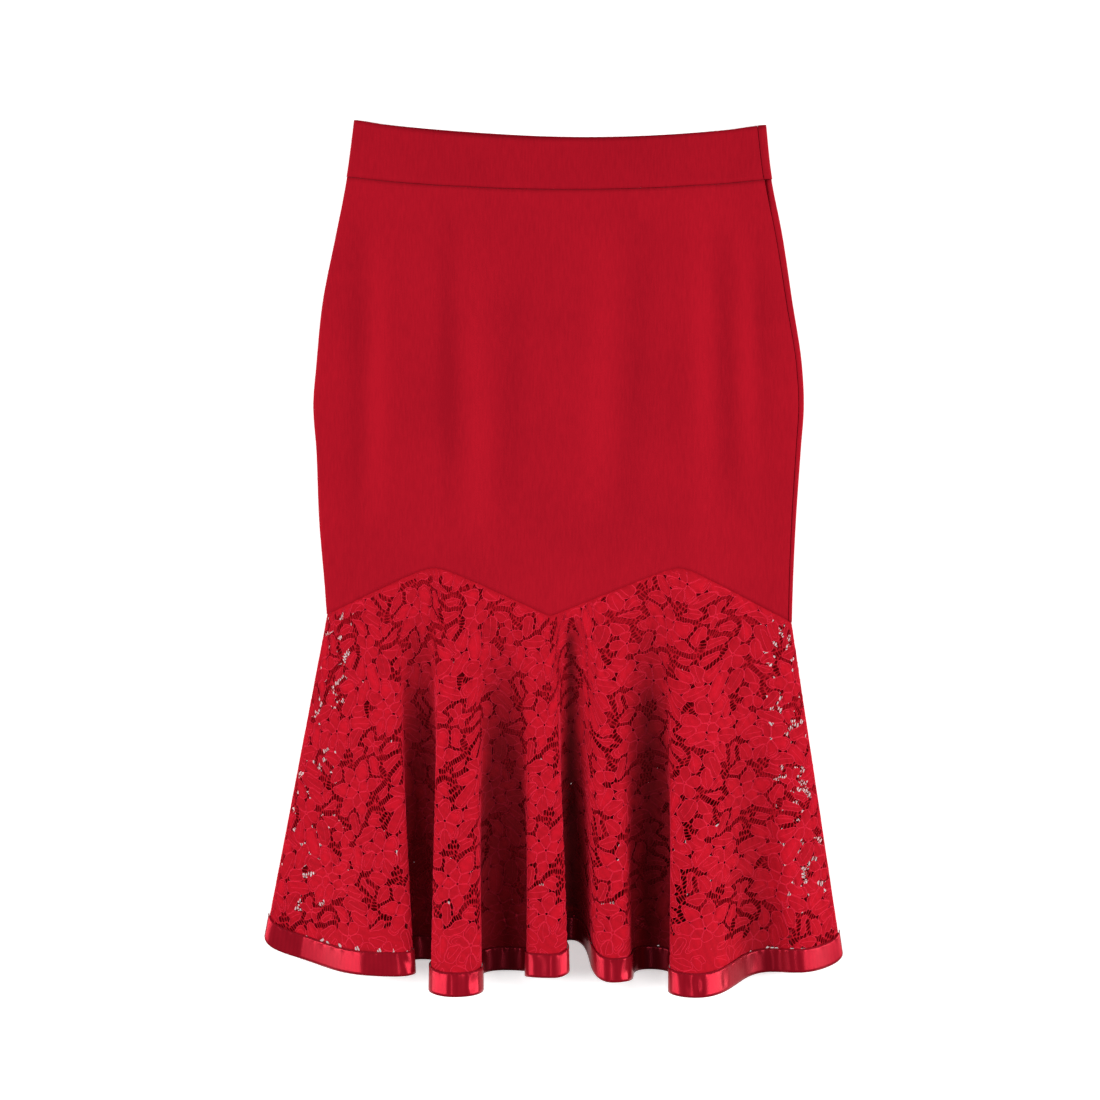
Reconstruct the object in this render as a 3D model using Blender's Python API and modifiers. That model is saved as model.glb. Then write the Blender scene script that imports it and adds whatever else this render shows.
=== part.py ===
"""Lace pencil skirt, laid flat on a table with its front up.

A plain knit skirt with a doubled waistband. Its lower edge has two rounded peaks and a point between
them, and carries a flared lace flounce, unlined, whose fullness stands in waves. A satin ribbon is
lapped on the flounce's lower edge. Each piece has a front and a back, and the front lies on the back.

Metres. X is across and Y up the skirt, both from the middle of the laid skirt. Z is up from the table.
"""

from collections import namedtuple
from itertools import product
from math import pi

import bpy
import numpy as np
from mathutils.geometry import delaunay_2d_cdt

KNIT_WALL = 0.0012
BAND_WALL = 0.0024
LACE_WALL = 0.0012
RIBBON_WALL = 0.0010
GAP = 0.0003

# Levels of the middle of each wall over the table
BACK_REST = KNIT_WALL / 2
FRONT_REST = BACK_REST + KNIT_WALL + GAP
BAND_BACK_REST = BAND_WALL / 2
BAND_FRONT_REST = BAND_BACK_REST + BAND_WALL + GAP
LAP_OUT = (LACE_WALL + RIBBON_WALL) / 2 + 2 * GAP
TABLE_CLEARANCE = 0.0002  # the hem's end facets dip this far below their own middle surface
HEM_BACK_REST = RIBBON_WALL / 2 + LAP_OUT + TABLE_CLEARANCE
HEM_FRONT_REST = HEM_BACK_REST + LACE_WALL + GAP

# The laid skirt's edges, a row for each height from the flounce seam up to the waist
Section = namedtuple("Section", "height left right")
OUTLINE = (
    Section(-0.0560, -0.1918, 0.2019),
    Section(-0.0290, -0.1938, 0.2027),
    Section(0.0270, -0.1985, 0.2053),
    Section(0.0880, -0.2010, 0.2095),
    Section(0.1260, -0.2036, 0.2121),
    Section(0.1600, -0.2010, 0.2104),
    Section(0.2110, -0.1959, 0.2027),
    Section(0.2720, -0.1840, 0.1934),
    Section(0.3185, -0.1748, 0.1843),
    Section(0.3700, -0.1679, 0.1787),
)

# Edges that run across: the height at each side, and how far the middle hangs below that
Line = namedtuple("Line", "left right sag")
WAIST_TOP = Line(0.3673, 0.3631, 0.0132)
WAIST_TOP_BACK = Line(0.3673, 0.3631, 0.0118)
WAIST_SEAM = Line(0.3190, 0.3172, 0.0093)

# Corners of the flounce seam, and how much each is rounded
Corner = namedtuple("Corner", "x y rounding")
SEAM_CORNERS = (
    Corner(-0.1918, -0.0516, 0),
    Corner(-0.1019, -0.0074, 0.0055),
    Corner(-0.0030, -0.0535, 0.0008),
    Corner(0.1078, -0.0085, 0.0045),
    Corner(0.2019, -0.0586, 0),
)

# The front rolls over at each side, and the back's right edge is turned round onto the front
ROLL_RISE = 0.0025
ROLL_WIDTH = 0.030
TURN_RADIUS = 0.00195
BAND_TURN_RADIUS = 0.00258
TURN_RUN_AT_SEAM = 0.0005
TURN_RUN_AT_WAIST = 0.0040

# Soft ridges down the skirt's front
Ridge = namedtuple("Ridge", "x width rise")
RIDGES = (
    Ridge(-0.150, 0.016, 0.0014),
    Ridge(-0.075, 0.020, 0.0016),
    Ridge(0.020, 0.034, 0.0010),
    Ridge(0.118, 0.018, 0.0018),
    Ridge(0.165, 0.014, 0.0012),
)

# The front hem's folds, crests and troughs in turn: x on the flounce seam, the hem point, and how far
# the flank before it puffs out (0 is a plain wave, over 1 leans over the trough)
Fold = namedtuple("Fold", "root x y z puff")
FRONT_FOLDS = (
    Fold(-0.1918, -0.2438, -0.3245, HEM_FRONT_REST, 0),
    Fold(-0.1475, -0.1305, -0.3525, 0.038, 0.3),
    Fold(-0.1177, -0.1109, -0.3440, 0.004, 2.6),
    Fold(-0.0837, -0.0812, -0.3669, 0.052, 2.7),
    Fold(-0.0412, -0.0421, -0.3533, 0.004, 1.5),
    Fold(-0.0072, -0.0004, -0.3533, 0.040, 1.35),
    Fold(0.0140, 0.0149, -0.3278, 0.004, 3.0),
    Fold(0.0395, 0.0489, -0.3575, 0.038, 0.6),
    Fold(0.0778, 0.0820, -0.3524, 0.004, 0.9),
    Fold(0.1160, 0.1177, -0.3675, 0.052, 1.75),
    Fold(0.1670, 0.1840, -0.3533, 0.012, 0.2),
    Fold(0.1823, 0.2070, -0.3525, 0.020, 0.3),
    Fold(0.2019, 0.2438, -0.3389, HEM_FRONT_REST, 0),
)

# The back's fullness stands in narrower waves, inside the front's
Wave = namedtuple("Wave", "root x half rise")
BACK_WAVES = (
    Wave(-0.146, -0.155, 0.024, 0.018),
    Wave(-0.080, -0.076, 0.012, 0.026),
    Wave(-0.007, -0.012, 0.009, 0.014),
    Wave(0.042, 0.046, 0.013, 0.020),
    Wave(0.119, 0.123, 0.017, 0.032),
    Wave(0.170, 0.190, 0.022, 0.008),
)
BACK_PUFF = 0.8
BACK_ROOT_SHARE = 0.6
BACK_HEM_RISE = 0.0103

HEM_END_CURVE = 0.4  # how roundly the front's hem turns up to its two ends (1 is a plain slope)
FOLD_GROWTH = 1.15  # waves stand up from the table a little faster than the lace goes down
FOLD_STEPS = 48  # points measured along each flank of a fold
ROLL_COLUMNS = (0.0015, 0.005)  # extra columns where the lace rolls over at its sides
RIBBON_WIDTH = 0.020
RIBBON_LAP = 0.005

# The lace's largest gaps ring its flowers, once in each repeat of the pattern, laid out on the flat cut
REPEAT_WIDTH = 0.120
REPEAT_HEIGHT = 0.105
Ring = namedtuple("Ring", "x y radius length width turns")
GAP_RINGS = (
    Ring(0.000, 0.0000, 0.031, 0.0105, 0.0052, (12, 84, 150, 222, 296)),
    Ring(0.060, 0.0525, 0.023, 0.0095, 0.0050, (38, 160, 275)),
    Ring(0.060, 0.0000, 0.010, 0.0090, 0.0048, (165,)),
)
GAP_CORNERS = ((0.5, 0), (0.25, 0.5), (-0.25, 0.5), (-0.5, 0), (-0.25, -0.5), (0.25, -0.5))
GAP_MARGIN = 0.0045  # cloth left between a gap and the lace's edges
GAP_CLEARANCE = 0.0036  # no other point lies this close to a gap's middle line
DOWN_SQUEEZE = 0.2  # folds run down the cloth, so its triangles are laid out long that way
SPARSE_SHARE = 0.4  # above this share of the way down, the lace needs only every other column

# Columns between two seam corners, rows and the lace's column spacing, for the back and for the front
Mesh = namedtuple("Mesh", "seam_columns panel_rows lace_rows spacing")
BACK_MESH = Mesh(5, 11, 8, 0.0075)
FRONT_MESH = Mesh(8, 11, 8, 0.0085)
TURN_STEPS = 4  # facets round the back's turned edge

CRIMSON = (0.42, 0.007, 0.018, 1)
LACE_RED = (0.56, 0.008, 0.022, 1)
SATIN_RED = (0.50, 0.010, 0.030, 1)


def curve_through(knots, values, at):
    """A smooth curve through values at rising knots."""
    knots = np.array(knots)
    values = np.array(values)
    slopes = np.gradient(values, knots)
    i = np.clip(np.searchsorted(knots, at) - 1, 0, len(knots) - 2)
    span = knots[i + 1] - knots[i]
    t = (at - knots[i]) / span
    ends = values[i] * (1 + 2 * t) * (1 - t) ** 2 + values[i + 1] * (3 - 2 * t) * t**2
    return ends + span * (slopes[i] * t * (1 - t) ** 2 - slopes[i + 1] * (1 - t) * t**2)


def left_edge(height):
    rows = OUTLINE
    return curve_through([r.height for r in rows], [r.left for r in rows], height)


def right_edge(height):
    rows = OUTLINE
    return curve_through([r.height for r in rows], [r.right for r in rows], height)


def line_height(line, x):
    """Height of an edge that runs across, at a place between the skirt's sides."""
    left = left_edge(line.left)
    share = (x - left) / (right_edge(line.right) - left)
    return line.left + (line.right - line.left) * share - line.sag * 4 * share * (1 - share)


def seam_height(x):
    """The flounce seam: straight runs between its corners, each corner rounded."""
    corners = SEAM_CORNERS
    height = np.interp(x, [c.x for c in corners], [c.y for c in corners])
    for before, here, after in zip(corners, corners[1:], corners[2:]):
        rise = (here.y - before.y) / (here.x - before.x)
        fall = (after.y - here.y) / (after.x - here.x)
        bend = abs(rise - fall) / 2
        away = bend * np.abs(x - here.x)
        rounded = np.sqrt(away**2 + here.rounding**2) - away
        height = height - np.sign(rise - fall) * rounded
    return height


def fading(distance, length):
    """1 at no distance, smoothly down to 0 at length."""
    t = np.clip(distance / length, 0, 1)
    return (1 + np.cos(pi * t)) / 2


def side_roll(x, left, right):
    """The round of cloth turned over at a side: steep at the edge, then down to nothing."""
    reach = np.clip(np.minimum(x - left, right - x) / ROLL_WIDTH, 0, 1)
    return ROLL_RISE * np.sin(pi * np.sqrt(reach))


def front_level(x, y):
    """Level of the skirt front's wall."""
    left = left_edge(y)
    right = right_edge(y)
    level = FRONT_REST + side_roll(x, left, right)
    below_waist = line_height(WAIST_SEAM, x) - y
    level = level + (BAND_FRONT_REST - FRONT_REST) * fading(below_waist, 0.030)
    for ridge in RIDGES:
        level = level + ridge.rise * np.exp(-(((x - ridge.x) / ridge.width) ** 2))
    return level


def band_front_level(x, y):
    return BAND_FRONT_REST + side_roll(x, left_edge(y), right_edge(y))


def turn_run(y):
    """How far the back's turned edge runs in over the front at a height."""
    heights = (OUTLINE[0].height, OUTLINE[-1].height)
    return np.interp(y, heights, (TURN_RUN_AT_SEAM, TURN_RUN_AT_WAIST))


def seam_columns(count):
    """Places along the flounce seam, count to each stretch between two corners, closer at the corners."""
    share = (1 - np.cos(np.linspace(0, pi, count + 1))) / 2
    corners = [corner.x for corner in SEAM_CORNERS]
    stretches = [here + (after - here) * share[:-1] for here, after in zip(corners, corners[1:])]
    return np.concatenate([*stretches, corners[-1:]])


def patch(top, bottom, columns, left, right, rows):
    """A panel's (x, y) grid, blended from its four edges.

    top and bottom give heights at x, left and right give x at a height, and columns are the bottom
    row's places from the left edge, as shares of its width.
    """
    shares = (columns - columns[0]) / (columns[-1] - columns[0])
    start = left(bottom(columns[0]))
    lower_x = start + (right(bottom(columns[-1])) - start) * shares
    start = left(top(left(WAIST_SEAM.left)))
    upper_x = start + (right(top(right(WAIST_SEAM.right))) - start) * shares
    lower = np.stack([lower_x, bottom(lower_x)], axis=-1)
    upper = np.stack([upper_x, top(upper_x)], axis=-1)
    down = np.linspace(0, 1, rows)
    left_y = upper[0, 1] + (lower[0, 1] - upper[0, 1]) * down
    right_y = upper[-1, 1] + (lower[-1, 1] - upper[-1, 1]) * down
    left_side = np.stack([left(left_y), left_y], axis=-1)
    right_side = np.stack([right(right_y), right_y], axis=-1)
    u = shares[None, :, None]
    v = down[:, None, None]
    across = left_side[:, None] * (1 - u) + right_side[:, None] * u
    along = upper[None] * (1 - v) + lower[None] * v
    corners = (upper[0] * (1 - u) + upper[-1] * u) * (1 - v) + (lower[0] * (1 - u) + lower[-1] * u) * v
    return across + along - corners


def front_panel(top, bottom, columns, level, turn_radius, rows):
    """A front panel, from the left edge to the side seam, which lies in from the right edge."""

    def right(y):
        return right_edge(y) - turn_radius - turn_run(y) - 2 * GAP

    plan = patch(top, bottom, columns, left_edge, right, rows)
    return np.concatenate([plan, level(plan[..., 0], plan[..., 1])[..., None]], axis=-1)


def back_panel(top, bottom, columns, rest, turn_radius, rows):
    """A back panel: flat on the table, its right edge turned up and over onto the front."""

    def right(y):
        return right_edge(y) - turn_radius

    plan = patch(top, bottom, columns, left_edge, right, rows)
    flat = np.concatenate([plan, np.full_like(plan[..., :1], rest)], axis=-1)
    edge = flat[:, -1:]
    edge_x, edge_y = edge[..., 0], edge[..., 1]
    turn = np.linspace(0, pi, TURN_STEPS + 1)[None, 1:]
    inward = turn_run(edge_y)
    x = edge_x + np.concatenate([turn_radius * np.sin(turn) + 0 * inward, -inward], axis=1)
    up = turn_radius * (1 - np.cos(turn))
    z = rest + np.concatenate([up, up[:, -1:]], axis=1) + 0 * x
    down = np.linspace(0, 1, rows)[:, None]
    y = edge_y + (top(x) - top(edge_x)) * (1 - down) + (bottom(x) - bottom(edge_x)) * down
    return np.concatenate([flat, np.stack([x, y, z], axis=-1)], axis=1)


def waist_top(x):
    return line_height(WAIST_TOP, x)


def waist_top_back(x):
    return line_height(WAIST_TOP_BACK, x)


def band_bottom(x):
    return line_height(WAIST_SEAM, x) + GAP / 2


def skirt_top(x):
    return line_height(WAIST_SEAM, x) - GAP / 2


def skirt_bottom(x):
    return seam_height(x) + GAP


class Flounce:
    """Lace ruled straight from the flounce seam to a folded hem.

    A point is named by across, its share of the hem's length from the left, and down, its share of the
    way from the seam to the hem. The flat cut is a sector whose arc is the hem laid out.
    """

    def __init__(self, folds, seam_level):
        self.folds = np.array(folds)
        self.seam_level = seam_level
        self.steps = np.linspace(0, len(folds) - 1, FOLD_STEPS * (len(folds) - 1) + 1)
        hem = self.hem(self.steps)
        run = np.linalg.norm(np.diff(hem, axis=0), axis=1)
        run = np.concatenate([[0], np.cumsum(run)])
        self.hem_length = run[-1]
        self.shares = run / run[-1]
        seam = self.seam(self.steps)
        self.drops = np.linalg.norm(hem - seam, axis=1)
        seam_run = np.linalg.norm(np.diff(seam, axis=0), axis=1).sum()
        self.angle = (self.hem_length - seam_run) / self.drops.mean()
        self.radius = self.hem_length / self.angle

    def between(self, steps, column, share):
        i = np.clip(steps.astype(int), 0, len(self.folds) - 2)
        return self.folds[i, column] * (1 - share) + self.folds[i + 1, column] * share

    def hem(self, steps):
        i = np.clip(steps.astype(int), 0, len(self.folds) - 2)
        t = steps - i
        # The puff belongs to the flank's upper part, whichever end that is
        puff = self.folds[i + 1, 4] * np.sin(2 * pi * t) / (2 * pi)
        wave = (1 - np.cos(pi * t)) / 2
        x = self.between(steps, 1, t + puff)
        z = self.between(steps, 3, wave)
        fall = wave
        if self.folds[0, 3] > HEM_BACK_REST:
            z = z + side_roll(x, self.folds[0, 1], self.folds[-1, 1])
            fall = np.where(i == 0, np.sin(pi * t / 2) ** HEM_END_CURVE, fall)
            last = i == len(self.folds) - 2
            fall = np.where(last, 1 - np.cos(pi * t / 2) ** HEM_END_CURVE, fall)
        return np.stack([x, self.between(steps, 2, fall), z], axis=-1)

    def seam(self, steps):
        t = steps - np.clip(steps.astype(int), 0, len(self.folds) - 2)
        x = self.between(steps, 0, t)
        y = seam_height(x)
        return np.stack([x, y, self.seam_level(x, y)], axis=-1)

    def at(self, across, down):
        steps = np.interp(across, self.shares, self.steps)
        seam = self.seam(steps)
        hem = self.hem(steps)
        down = np.asarray(down)[..., None]
        point = seam * (1 - down) + hem * down
        grown = down**FOLD_GROWTH
        point[..., 2] = (seam * (1 - grown) + hem * grown)[..., 2]
        return point

    def drop(self, across):
        """Length of cloth from seam to hem."""
        return np.interp(across, self.shares, self.drops)

    def above_hem(self, across, distance):
        """How far down a line lies that runs at a distance above the hem."""
        return 1 - distance / self.drop(across)

    def flat(self, across, down):
        """Place on the flat cut."""
        turn = (across - 0.5) * self.angle
        reach = self.radius - (1 - down) * self.drop(across)
        return np.stack([reach * np.sin(turn), -reach * np.cos(turn)], axis=-1)

    def unflat(self, point):
        """across and down of a place on the flat cut."""
        across = np.arctan2(point[..., 0], -point[..., 1]) / self.angle + 0.5
        reach = np.hypot(point[..., 0], point[..., 1])
        return across, 1 - (self.radius - reach) / self.drop(across)

    def at_seam(self, x):
        """Share across of a place on the flounce seam."""
        steps = np.interp(x, self.seam(self.steps)[:, 0], self.steps)
        return np.interp(steps, self.steps, self.shares)

    def columns(self, spacing):
        """Shares across, at each fold's ends and about spacing apart between them."""
        ends = np.interp(np.arange(len(self.folds)), self.steps, self.shares)
        counts = np.maximum(np.round(np.diff(ends) * self.hem_length / spacing), 1).astype(int)
        runs = [np.linspace(a, b, n, endpoint=False) for a, b, n in zip(ends, ends[1:], counts)]
        roll = np.array(ROLL_COLUMNS) / self.hem_length
        return np.sort(np.concatenate([*runs, roll, 1 - roll, [1]]))


def back_folds():
    """The back hem's folds: each wave has a foot, a crest and a foot."""
    ends = FRONT_FOLDS[0], FRONT_FOLDS[-1]
    points = [(ends[0].root, ends[0].x, 0, 0)]
    for wave in BACK_WAVES:
        root_half = wave.half * BACK_ROOT_SHARE
        points.append((wave.root - root_half, wave.x - wave.half, 0, 0))
        points.append((wave.root, wave.x, wave.rise, BACK_PUFF))
        points.append((wave.root + root_half, wave.x + wave.half, 0, BACK_PUFF))
    points.append((ends[1].root, ends[1].x, 0, 0))
    folds = []
    for root, x, rise, puff in points:
        share = (x - ends[0].x) / (ends[1].x - ends[0].x)
        y = ends[0].y + (ends[1].y - ends[0].y) * share + BACK_HEM_RISE * 4 * share * (1 - share)
        folds.append(Fold(root, x, y, HEM_BACK_REST + rise, puff))
    return folds


def gap_outlines(flounce, top_edge, bottom_edge):
    """Outlines of the cut gaps on the flat cut, six points each, clear of the cut's edges."""
    half_width = flounce.radius * np.sin(flounce.angle / 2)
    height = flounce.radius * (1 - np.cos(flounce.angle / 2)) + flounce.drops.max()
    columns = int(half_width / REPEAT_WIDTH) + 1
    rows = int(height / REPEAT_HEIGHT) + 1
    outlines = []
    for row, column, ring in product(range(rows), range(-columns, columns + 1), GAP_RINGS):
        centre = np.array([column * REPEAT_WIDTH + ring.x, row * REPEAT_HEIGHT + ring.y - flounce.radius])
        for turn in np.radians(ring.turns):
            outward = np.array([np.cos(turn), np.sin(turn)])
            along = np.array([-outward[1], outward[0]])
            middle = centre + ring.radius * outward
            corners = [a * ring.length * along - b * ring.width * outward for a, b in GAP_CORNERS]
            outline = middle + np.array(corners)
            across, down = flounce.unflat(outline)
            depth = np.minimum(down - top_edge(across), bottom_edge(across) - down) * flounce.drop(across)
            side = np.minimum(across, 1 - across) * flounce.hem_length
            if min(depth.min(), side.min()) > GAP_MARGIN:
                outlines.append(outline)
    return np.array(outlines)


def lace_mesh(flounce, seam_places, mesh):
    """(points, triangles) of a lace flounce's middle surface, with its largest gaps cut out."""

    def top_edge(across):
        return GAP / flounce.drop(across)

    def ribbon_top(across):
        return flounce.above_hem(across, RIBBON_WIDTH)

    def bottom_edge(across):
        return flounce.above_hem(across, RIBBON_WIDTH - RIBBON_LAP)

    top = flounce.at_seam(seam_places)
    hem = flounce.columns(mesh.spacing)
    share = np.linspace(0, 1, mesh.lace_rows)[1:]
    sides = []
    for end in (0.0, 1.0):
        down = top_edge(end) * (1 - share) + ribbon_top(end) * share
        sides.append(flounce.flat(np.full_like(down, end), down))
    left, right = sides
    upper = flounce.flat(top, top_edge(top))
    lower = flounce.flat(hem, bottom_edge(hem))
    border = np.concatenate([upper, right, lower[::-1], left[::-1]])
    lap = flounce.flat(hem, ribbon_top(hem))[1:-1]

    gaps = gap_outlines(flounce, top_edge, ribbon_top)
    middles = gaps.mean(axis=1)
    halves = (gaps[:, 0] - gaps[:, 3]) / 2
    reaches = np.linalg.norm(halves, axis=1)
    long_axes = halves / reaches[:, None]

    def gap_distance(points):
        """Distance from each point to the nearest gap's long axis."""
        away = points[:, None] - middles
        along = np.clip(np.einsum("ijk,jk->ij", away, long_axes), -reaches, reaches)
        return np.linalg.norm(away - along[..., None] * long_axes, axis=-1).min(axis=1)

    inner = []
    for part_way in share[:-1]:
        places = hem[2:-2:2] if part_way < SPARSE_SHARE else hem[1:-1]
        down = top_edge(places) * (1 - part_way) + ribbon_top(places) * part_way
        inner.append(flounce.flat(places, down))
    inner = np.concatenate(inner)
    inner = inner[gap_distance(inner) > GAP_CLEARANCE]

    flat = np.concatenate([border, gaps.reshape(-1, 2), lap, inner])
    ring = np.arange(len(border))
    edges = list(zip(ring.tolist(), np.roll(ring, -1).tolist()))
    first = len(border)
    for start in range(first, first + 6 * len(gaps), 6):
        edges += [(start + k, start + (k + 1) % 6) for k in range(6)]
    first += 6 * len(gaps)
    edges += [(k, k + 1) for k in range(first, first + len(lap) - 1)]
    squeeze = 1000 * np.array([flounce.hem_length, flounce.drops.mean() * DOWN_SQUEEZE])
    laid = delaunay_2d_cdt((np.stack(flounce.unflat(flat), axis=-1) * squeeze).tolist(), edges, [], 1, 1e-5)
    places = np.array([tuple(p) for p in laid[0]]) / squeeze
    triangles = np.array(laid[2])
    centres = places[triangles].mean(axis=1)
    keep = np.ones(len(triangles), bool)
    for outline in gaps:
        corners = np.stack(flounce.unflat(outline), axis=-1)
        side = np.roll(corners, -1, axis=0) - corners
        toward = centres[:, None] - corners[None]
        turned = side[:, 0] * toward[..., 1] - side[:, 1] * toward[..., 0]
        keep &= ~((turned > 0).all(axis=1) | (turned < 0).all(axis=1))
    return flounce.at(*places.T), triangles[keep]


def grid_faces(rows, columns):
    corner = np.arange((rows - 1) * columns).reshape(rows - 1, columns)[:, :-1].ravel()
    return np.stack([corner, corner + columns, corner + columns + 1, corner + 1], axis=1)


def ribbon_surface(flounce, spacing, out):
    """The ribbon's middle surface: the flounce's lowest part, moved out along its own normals."""
    across = flounce.columns(spacing)
    heights = np.array([RIBBON_WIDTH, RIBBON_WIDTH - RIBBON_LAP, 0])[:, None]
    down = flounce.above_hem(across, heights)
    across = np.broadcast_to(across, down.shape)
    nudge = 1e-4
    here = flounce.at(across, down)
    sideways = flounce.at(np.clip(across + nudge, 0, 1), down) - flounce.at(np.clip(across - nudge, 0, 1), down)
    upward = flounce.at(across, down - nudge) - flounce.at(across, down + nudge)
    normal = np.cross(sideways, upward)
    normal = normal / np.linalg.norm(normal, axis=-1, keepdims=True)
    return here + out * normal


def material(name, colour, roughness):
    made = bpy.data.materials.new(name)
    made.use_nodes = True
    shader = made.node_tree.nodes["Principled BSDF"]
    shader.inputs["Base Color"].default_value = colour
    shader.inputs["Roughness"].default_value = roughness
    return made


def cloth(name, points, faces, wall, finish, collection):
    """A cloth piece: its middle surface, thickened by a Solidify modifier."""
    mesh = bpy.data.meshes.new(name)
    mesh.from_pydata(points.tolist(), [], faces.tolist())
    mesh.update()
    mesh.shade_smooth()
    mesh.materials.append(finish)
    piece = bpy.data.objects.new(name, mesh)
    collection.objects.link(piece)
    thicken = piece.modifiers.new("wall", "SOLIDIFY")
    thicken.thickness = wall
    thicken.offset = 0
    return piece


def cloth_grid(name, grid, wall, finish, collection):
    rows, columns = grid.shape[:2]
    return cloth(name, grid.reshape(-1, 3), grid_faces(rows, columns), wall, finish, collection)


def main():
    for old in list(bpy.data.objects):
        bpy.data.objects.remove(old, do_unlink=True)
    parts = bpy.data.collections.new("lace pencil skirt")
    bpy.context.scene.collection.children.link(parts)
    knit = material("crimson knit", CRIMSON, 0.75)
    lace = material("corded lace", LACE_RED, 0.7)
    satin = material("satin ribbon", SATIN_RED, 0.3)

    fine = seam_columns(FRONT_MESH.seam_columns)
    coarse = seam_columns(BACK_MESH.seam_columns)
    band_back = back_panel(waist_top_back, band_bottom, coarse, BAND_BACK_REST, BAND_TURN_RADIUS, 2)
    band_front = front_panel(waist_top, band_bottom, fine, band_front_level, BAND_TURN_RADIUS, 2)
    cloth_grid("waistband_back", band_back, BAND_WALL, knit, parts)
    cloth_grid("waistband_front", band_front, BAND_WALL, knit, parts)

    rows = BACK_MESH.panel_rows
    skirt_back = back_panel(skirt_top, skirt_bottom, coarse, BACK_REST, TURN_RADIUS, rows)
    rows = FRONT_MESH.panel_rows
    skirt_front = front_panel(skirt_top, skirt_bottom, fine, front_level, TURN_RADIUS, rows)
    cloth_grid("skirt_back", skirt_back, KNIT_WALL, knit, parts)
    cloth_grid("skirt_front", skirt_front, KNIT_WALL, knit, parts)

    front = Flounce(FRONT_FOLDS, front_level)
    back = Flounce(back_folds(), lambda x, y: np.full_like(x, BACK_REST))
    cloth("flounce_back", *lace_mesh(back, coarse, BACK_MESH), LACE_WALL, lace, parts)
    cloth("flounce_front", *lace_mesh(front, fine, FRONT_MESH), LACE_WALL, lace, parts)
    ribbon_back = ribbon_surface(back, BACK_MESH.spacing, -LAP_OUT)
    ribbon_front = ribbon_surface(front, FRONT_MESH.spacing, LAP_OUT)
    cloth_grid("ribbon_back", ribbon_back, RIBBON_WALL, satin, parts)
    cloth_grid("ribbon_front", ribbon_front, RIBBON_WALL, satin, parts)


main()
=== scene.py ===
from math import pi

import bpy
import numpy as np
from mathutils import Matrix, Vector, kdtree
from mathutils.geometry import delaunay_2d_cdt


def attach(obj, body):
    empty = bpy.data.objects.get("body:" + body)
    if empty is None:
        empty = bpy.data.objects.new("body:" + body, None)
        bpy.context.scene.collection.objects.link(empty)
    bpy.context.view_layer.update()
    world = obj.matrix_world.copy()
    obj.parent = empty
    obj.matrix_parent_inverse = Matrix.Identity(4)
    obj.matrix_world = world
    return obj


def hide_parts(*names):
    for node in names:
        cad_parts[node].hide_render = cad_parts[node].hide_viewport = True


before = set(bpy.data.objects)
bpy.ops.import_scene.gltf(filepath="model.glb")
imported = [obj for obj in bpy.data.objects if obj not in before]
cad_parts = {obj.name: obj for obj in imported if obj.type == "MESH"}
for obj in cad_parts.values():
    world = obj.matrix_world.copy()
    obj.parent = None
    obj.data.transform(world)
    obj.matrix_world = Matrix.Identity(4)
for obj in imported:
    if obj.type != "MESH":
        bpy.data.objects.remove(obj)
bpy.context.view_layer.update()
print("frame loaded:", ", ".join(sorted(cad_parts)))

# The skirt's form, in metres and in the frame of the CAD: x across, y up the skirt, z up from the table.
# These are the CAD's own sizes, so each cloth lies on the solid that it stands for.

skirtForm = {
    "knitWall": 0.0012,
    "bandWall": 0.0024,
    "laceWall": 0.0012,
    "ribbonWall": 0.0010,
    "gap": 0.0003,
    "rollRise": 0.0025,
    "rollWidth": 0.030,
    "turnRadius": 0.00195,
    "bandTurnRadius": 0.00258,
    "turnRunAtSeam": 0.0005,
    "turnRunAtWaist": 0.0040,
    "foldGrowth": 1.15,
    "hemEndCurve": 0.4,  # how roundly the hem turns up at its two ends
    "foldSteps": 48,
    "bandFade": 0.030,
    "ribbonWidth": 0.020,
    "ribbonLap": 0.005,
}
backRest = skirtForm["knitWall"] / 2
frontRest = backRest + skirtForm["knitWall"] + skirtForm["gap"]
bandBackRest = skirtForm["bandWall"] / 2
bandFrontRest = bandBackRest + skirtForm["bandWall"] + skirtForm["gap"]
lapOut = (skirtForm["laceWall"] + skirtForm["ribbonWall"]) / 2 + 2 * skirtForm["gap"]
hemLap = skirtForm["ribbonWidth"] - skirtForm["ribbonLap"]
hemBackRest = skirtForm["ribbonWall"] / 2 + lapOut + 0.0002
hemFrontRest = hemBackRest + skirtForm["laceWall"] + skirtForm["gap"]

# height, left edge, right edge
outlineRows = np.array([
    (-0.0560, -0.1918, 0.2019),
    (-0.0290, -0.1938, 0.2027),
    (0.0270, -0.1985, 0.2053),
    (0.0880, -0.2010, 0.2095),
    (0.1260, -0.2036, 0.2121),
    (0.1600, -0.2010, 0.2104),
    (0.2110, -0.1959, 0.2027),
    (0.2720, -0.1840, 0.1934),
    (0.3185, -0.1748, 0.1843),
    (0.3700, -0.1679, 0.1787),
])
# height at the left, height at the right, hang of the middle
waistTopLine = (0.3673, 0.3631, 0.0132)
waistTopBackLine = (0.3673, 0.3631, 0.0118)
waistSeamLine = (0.3190, 0.3172, 0.0093)
# x, y, rounding of the flounce seam's corners
seamCorners = np.array([
    (-0.1918, -0.0516, 0),
    (-0.1019, -0.0074, 0.0055),
    (-0.0030, -0.0535, 0.0008),
    (0.1078, -0.0085, 0.0045),
    (0.2019, -0.0586, 0),
])
# x, width, rise of the soft ridges down the skirt's front
frontRidges = [
    (-0.150, 0.016, 0.0014),
    (-0.075, 0.020, 0.0016),
    (0.020, 0.034, 0.0010),
    (0.118, 0.018, 0.0018),
    (0.165, 0.014, 0.0012),
]
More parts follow.
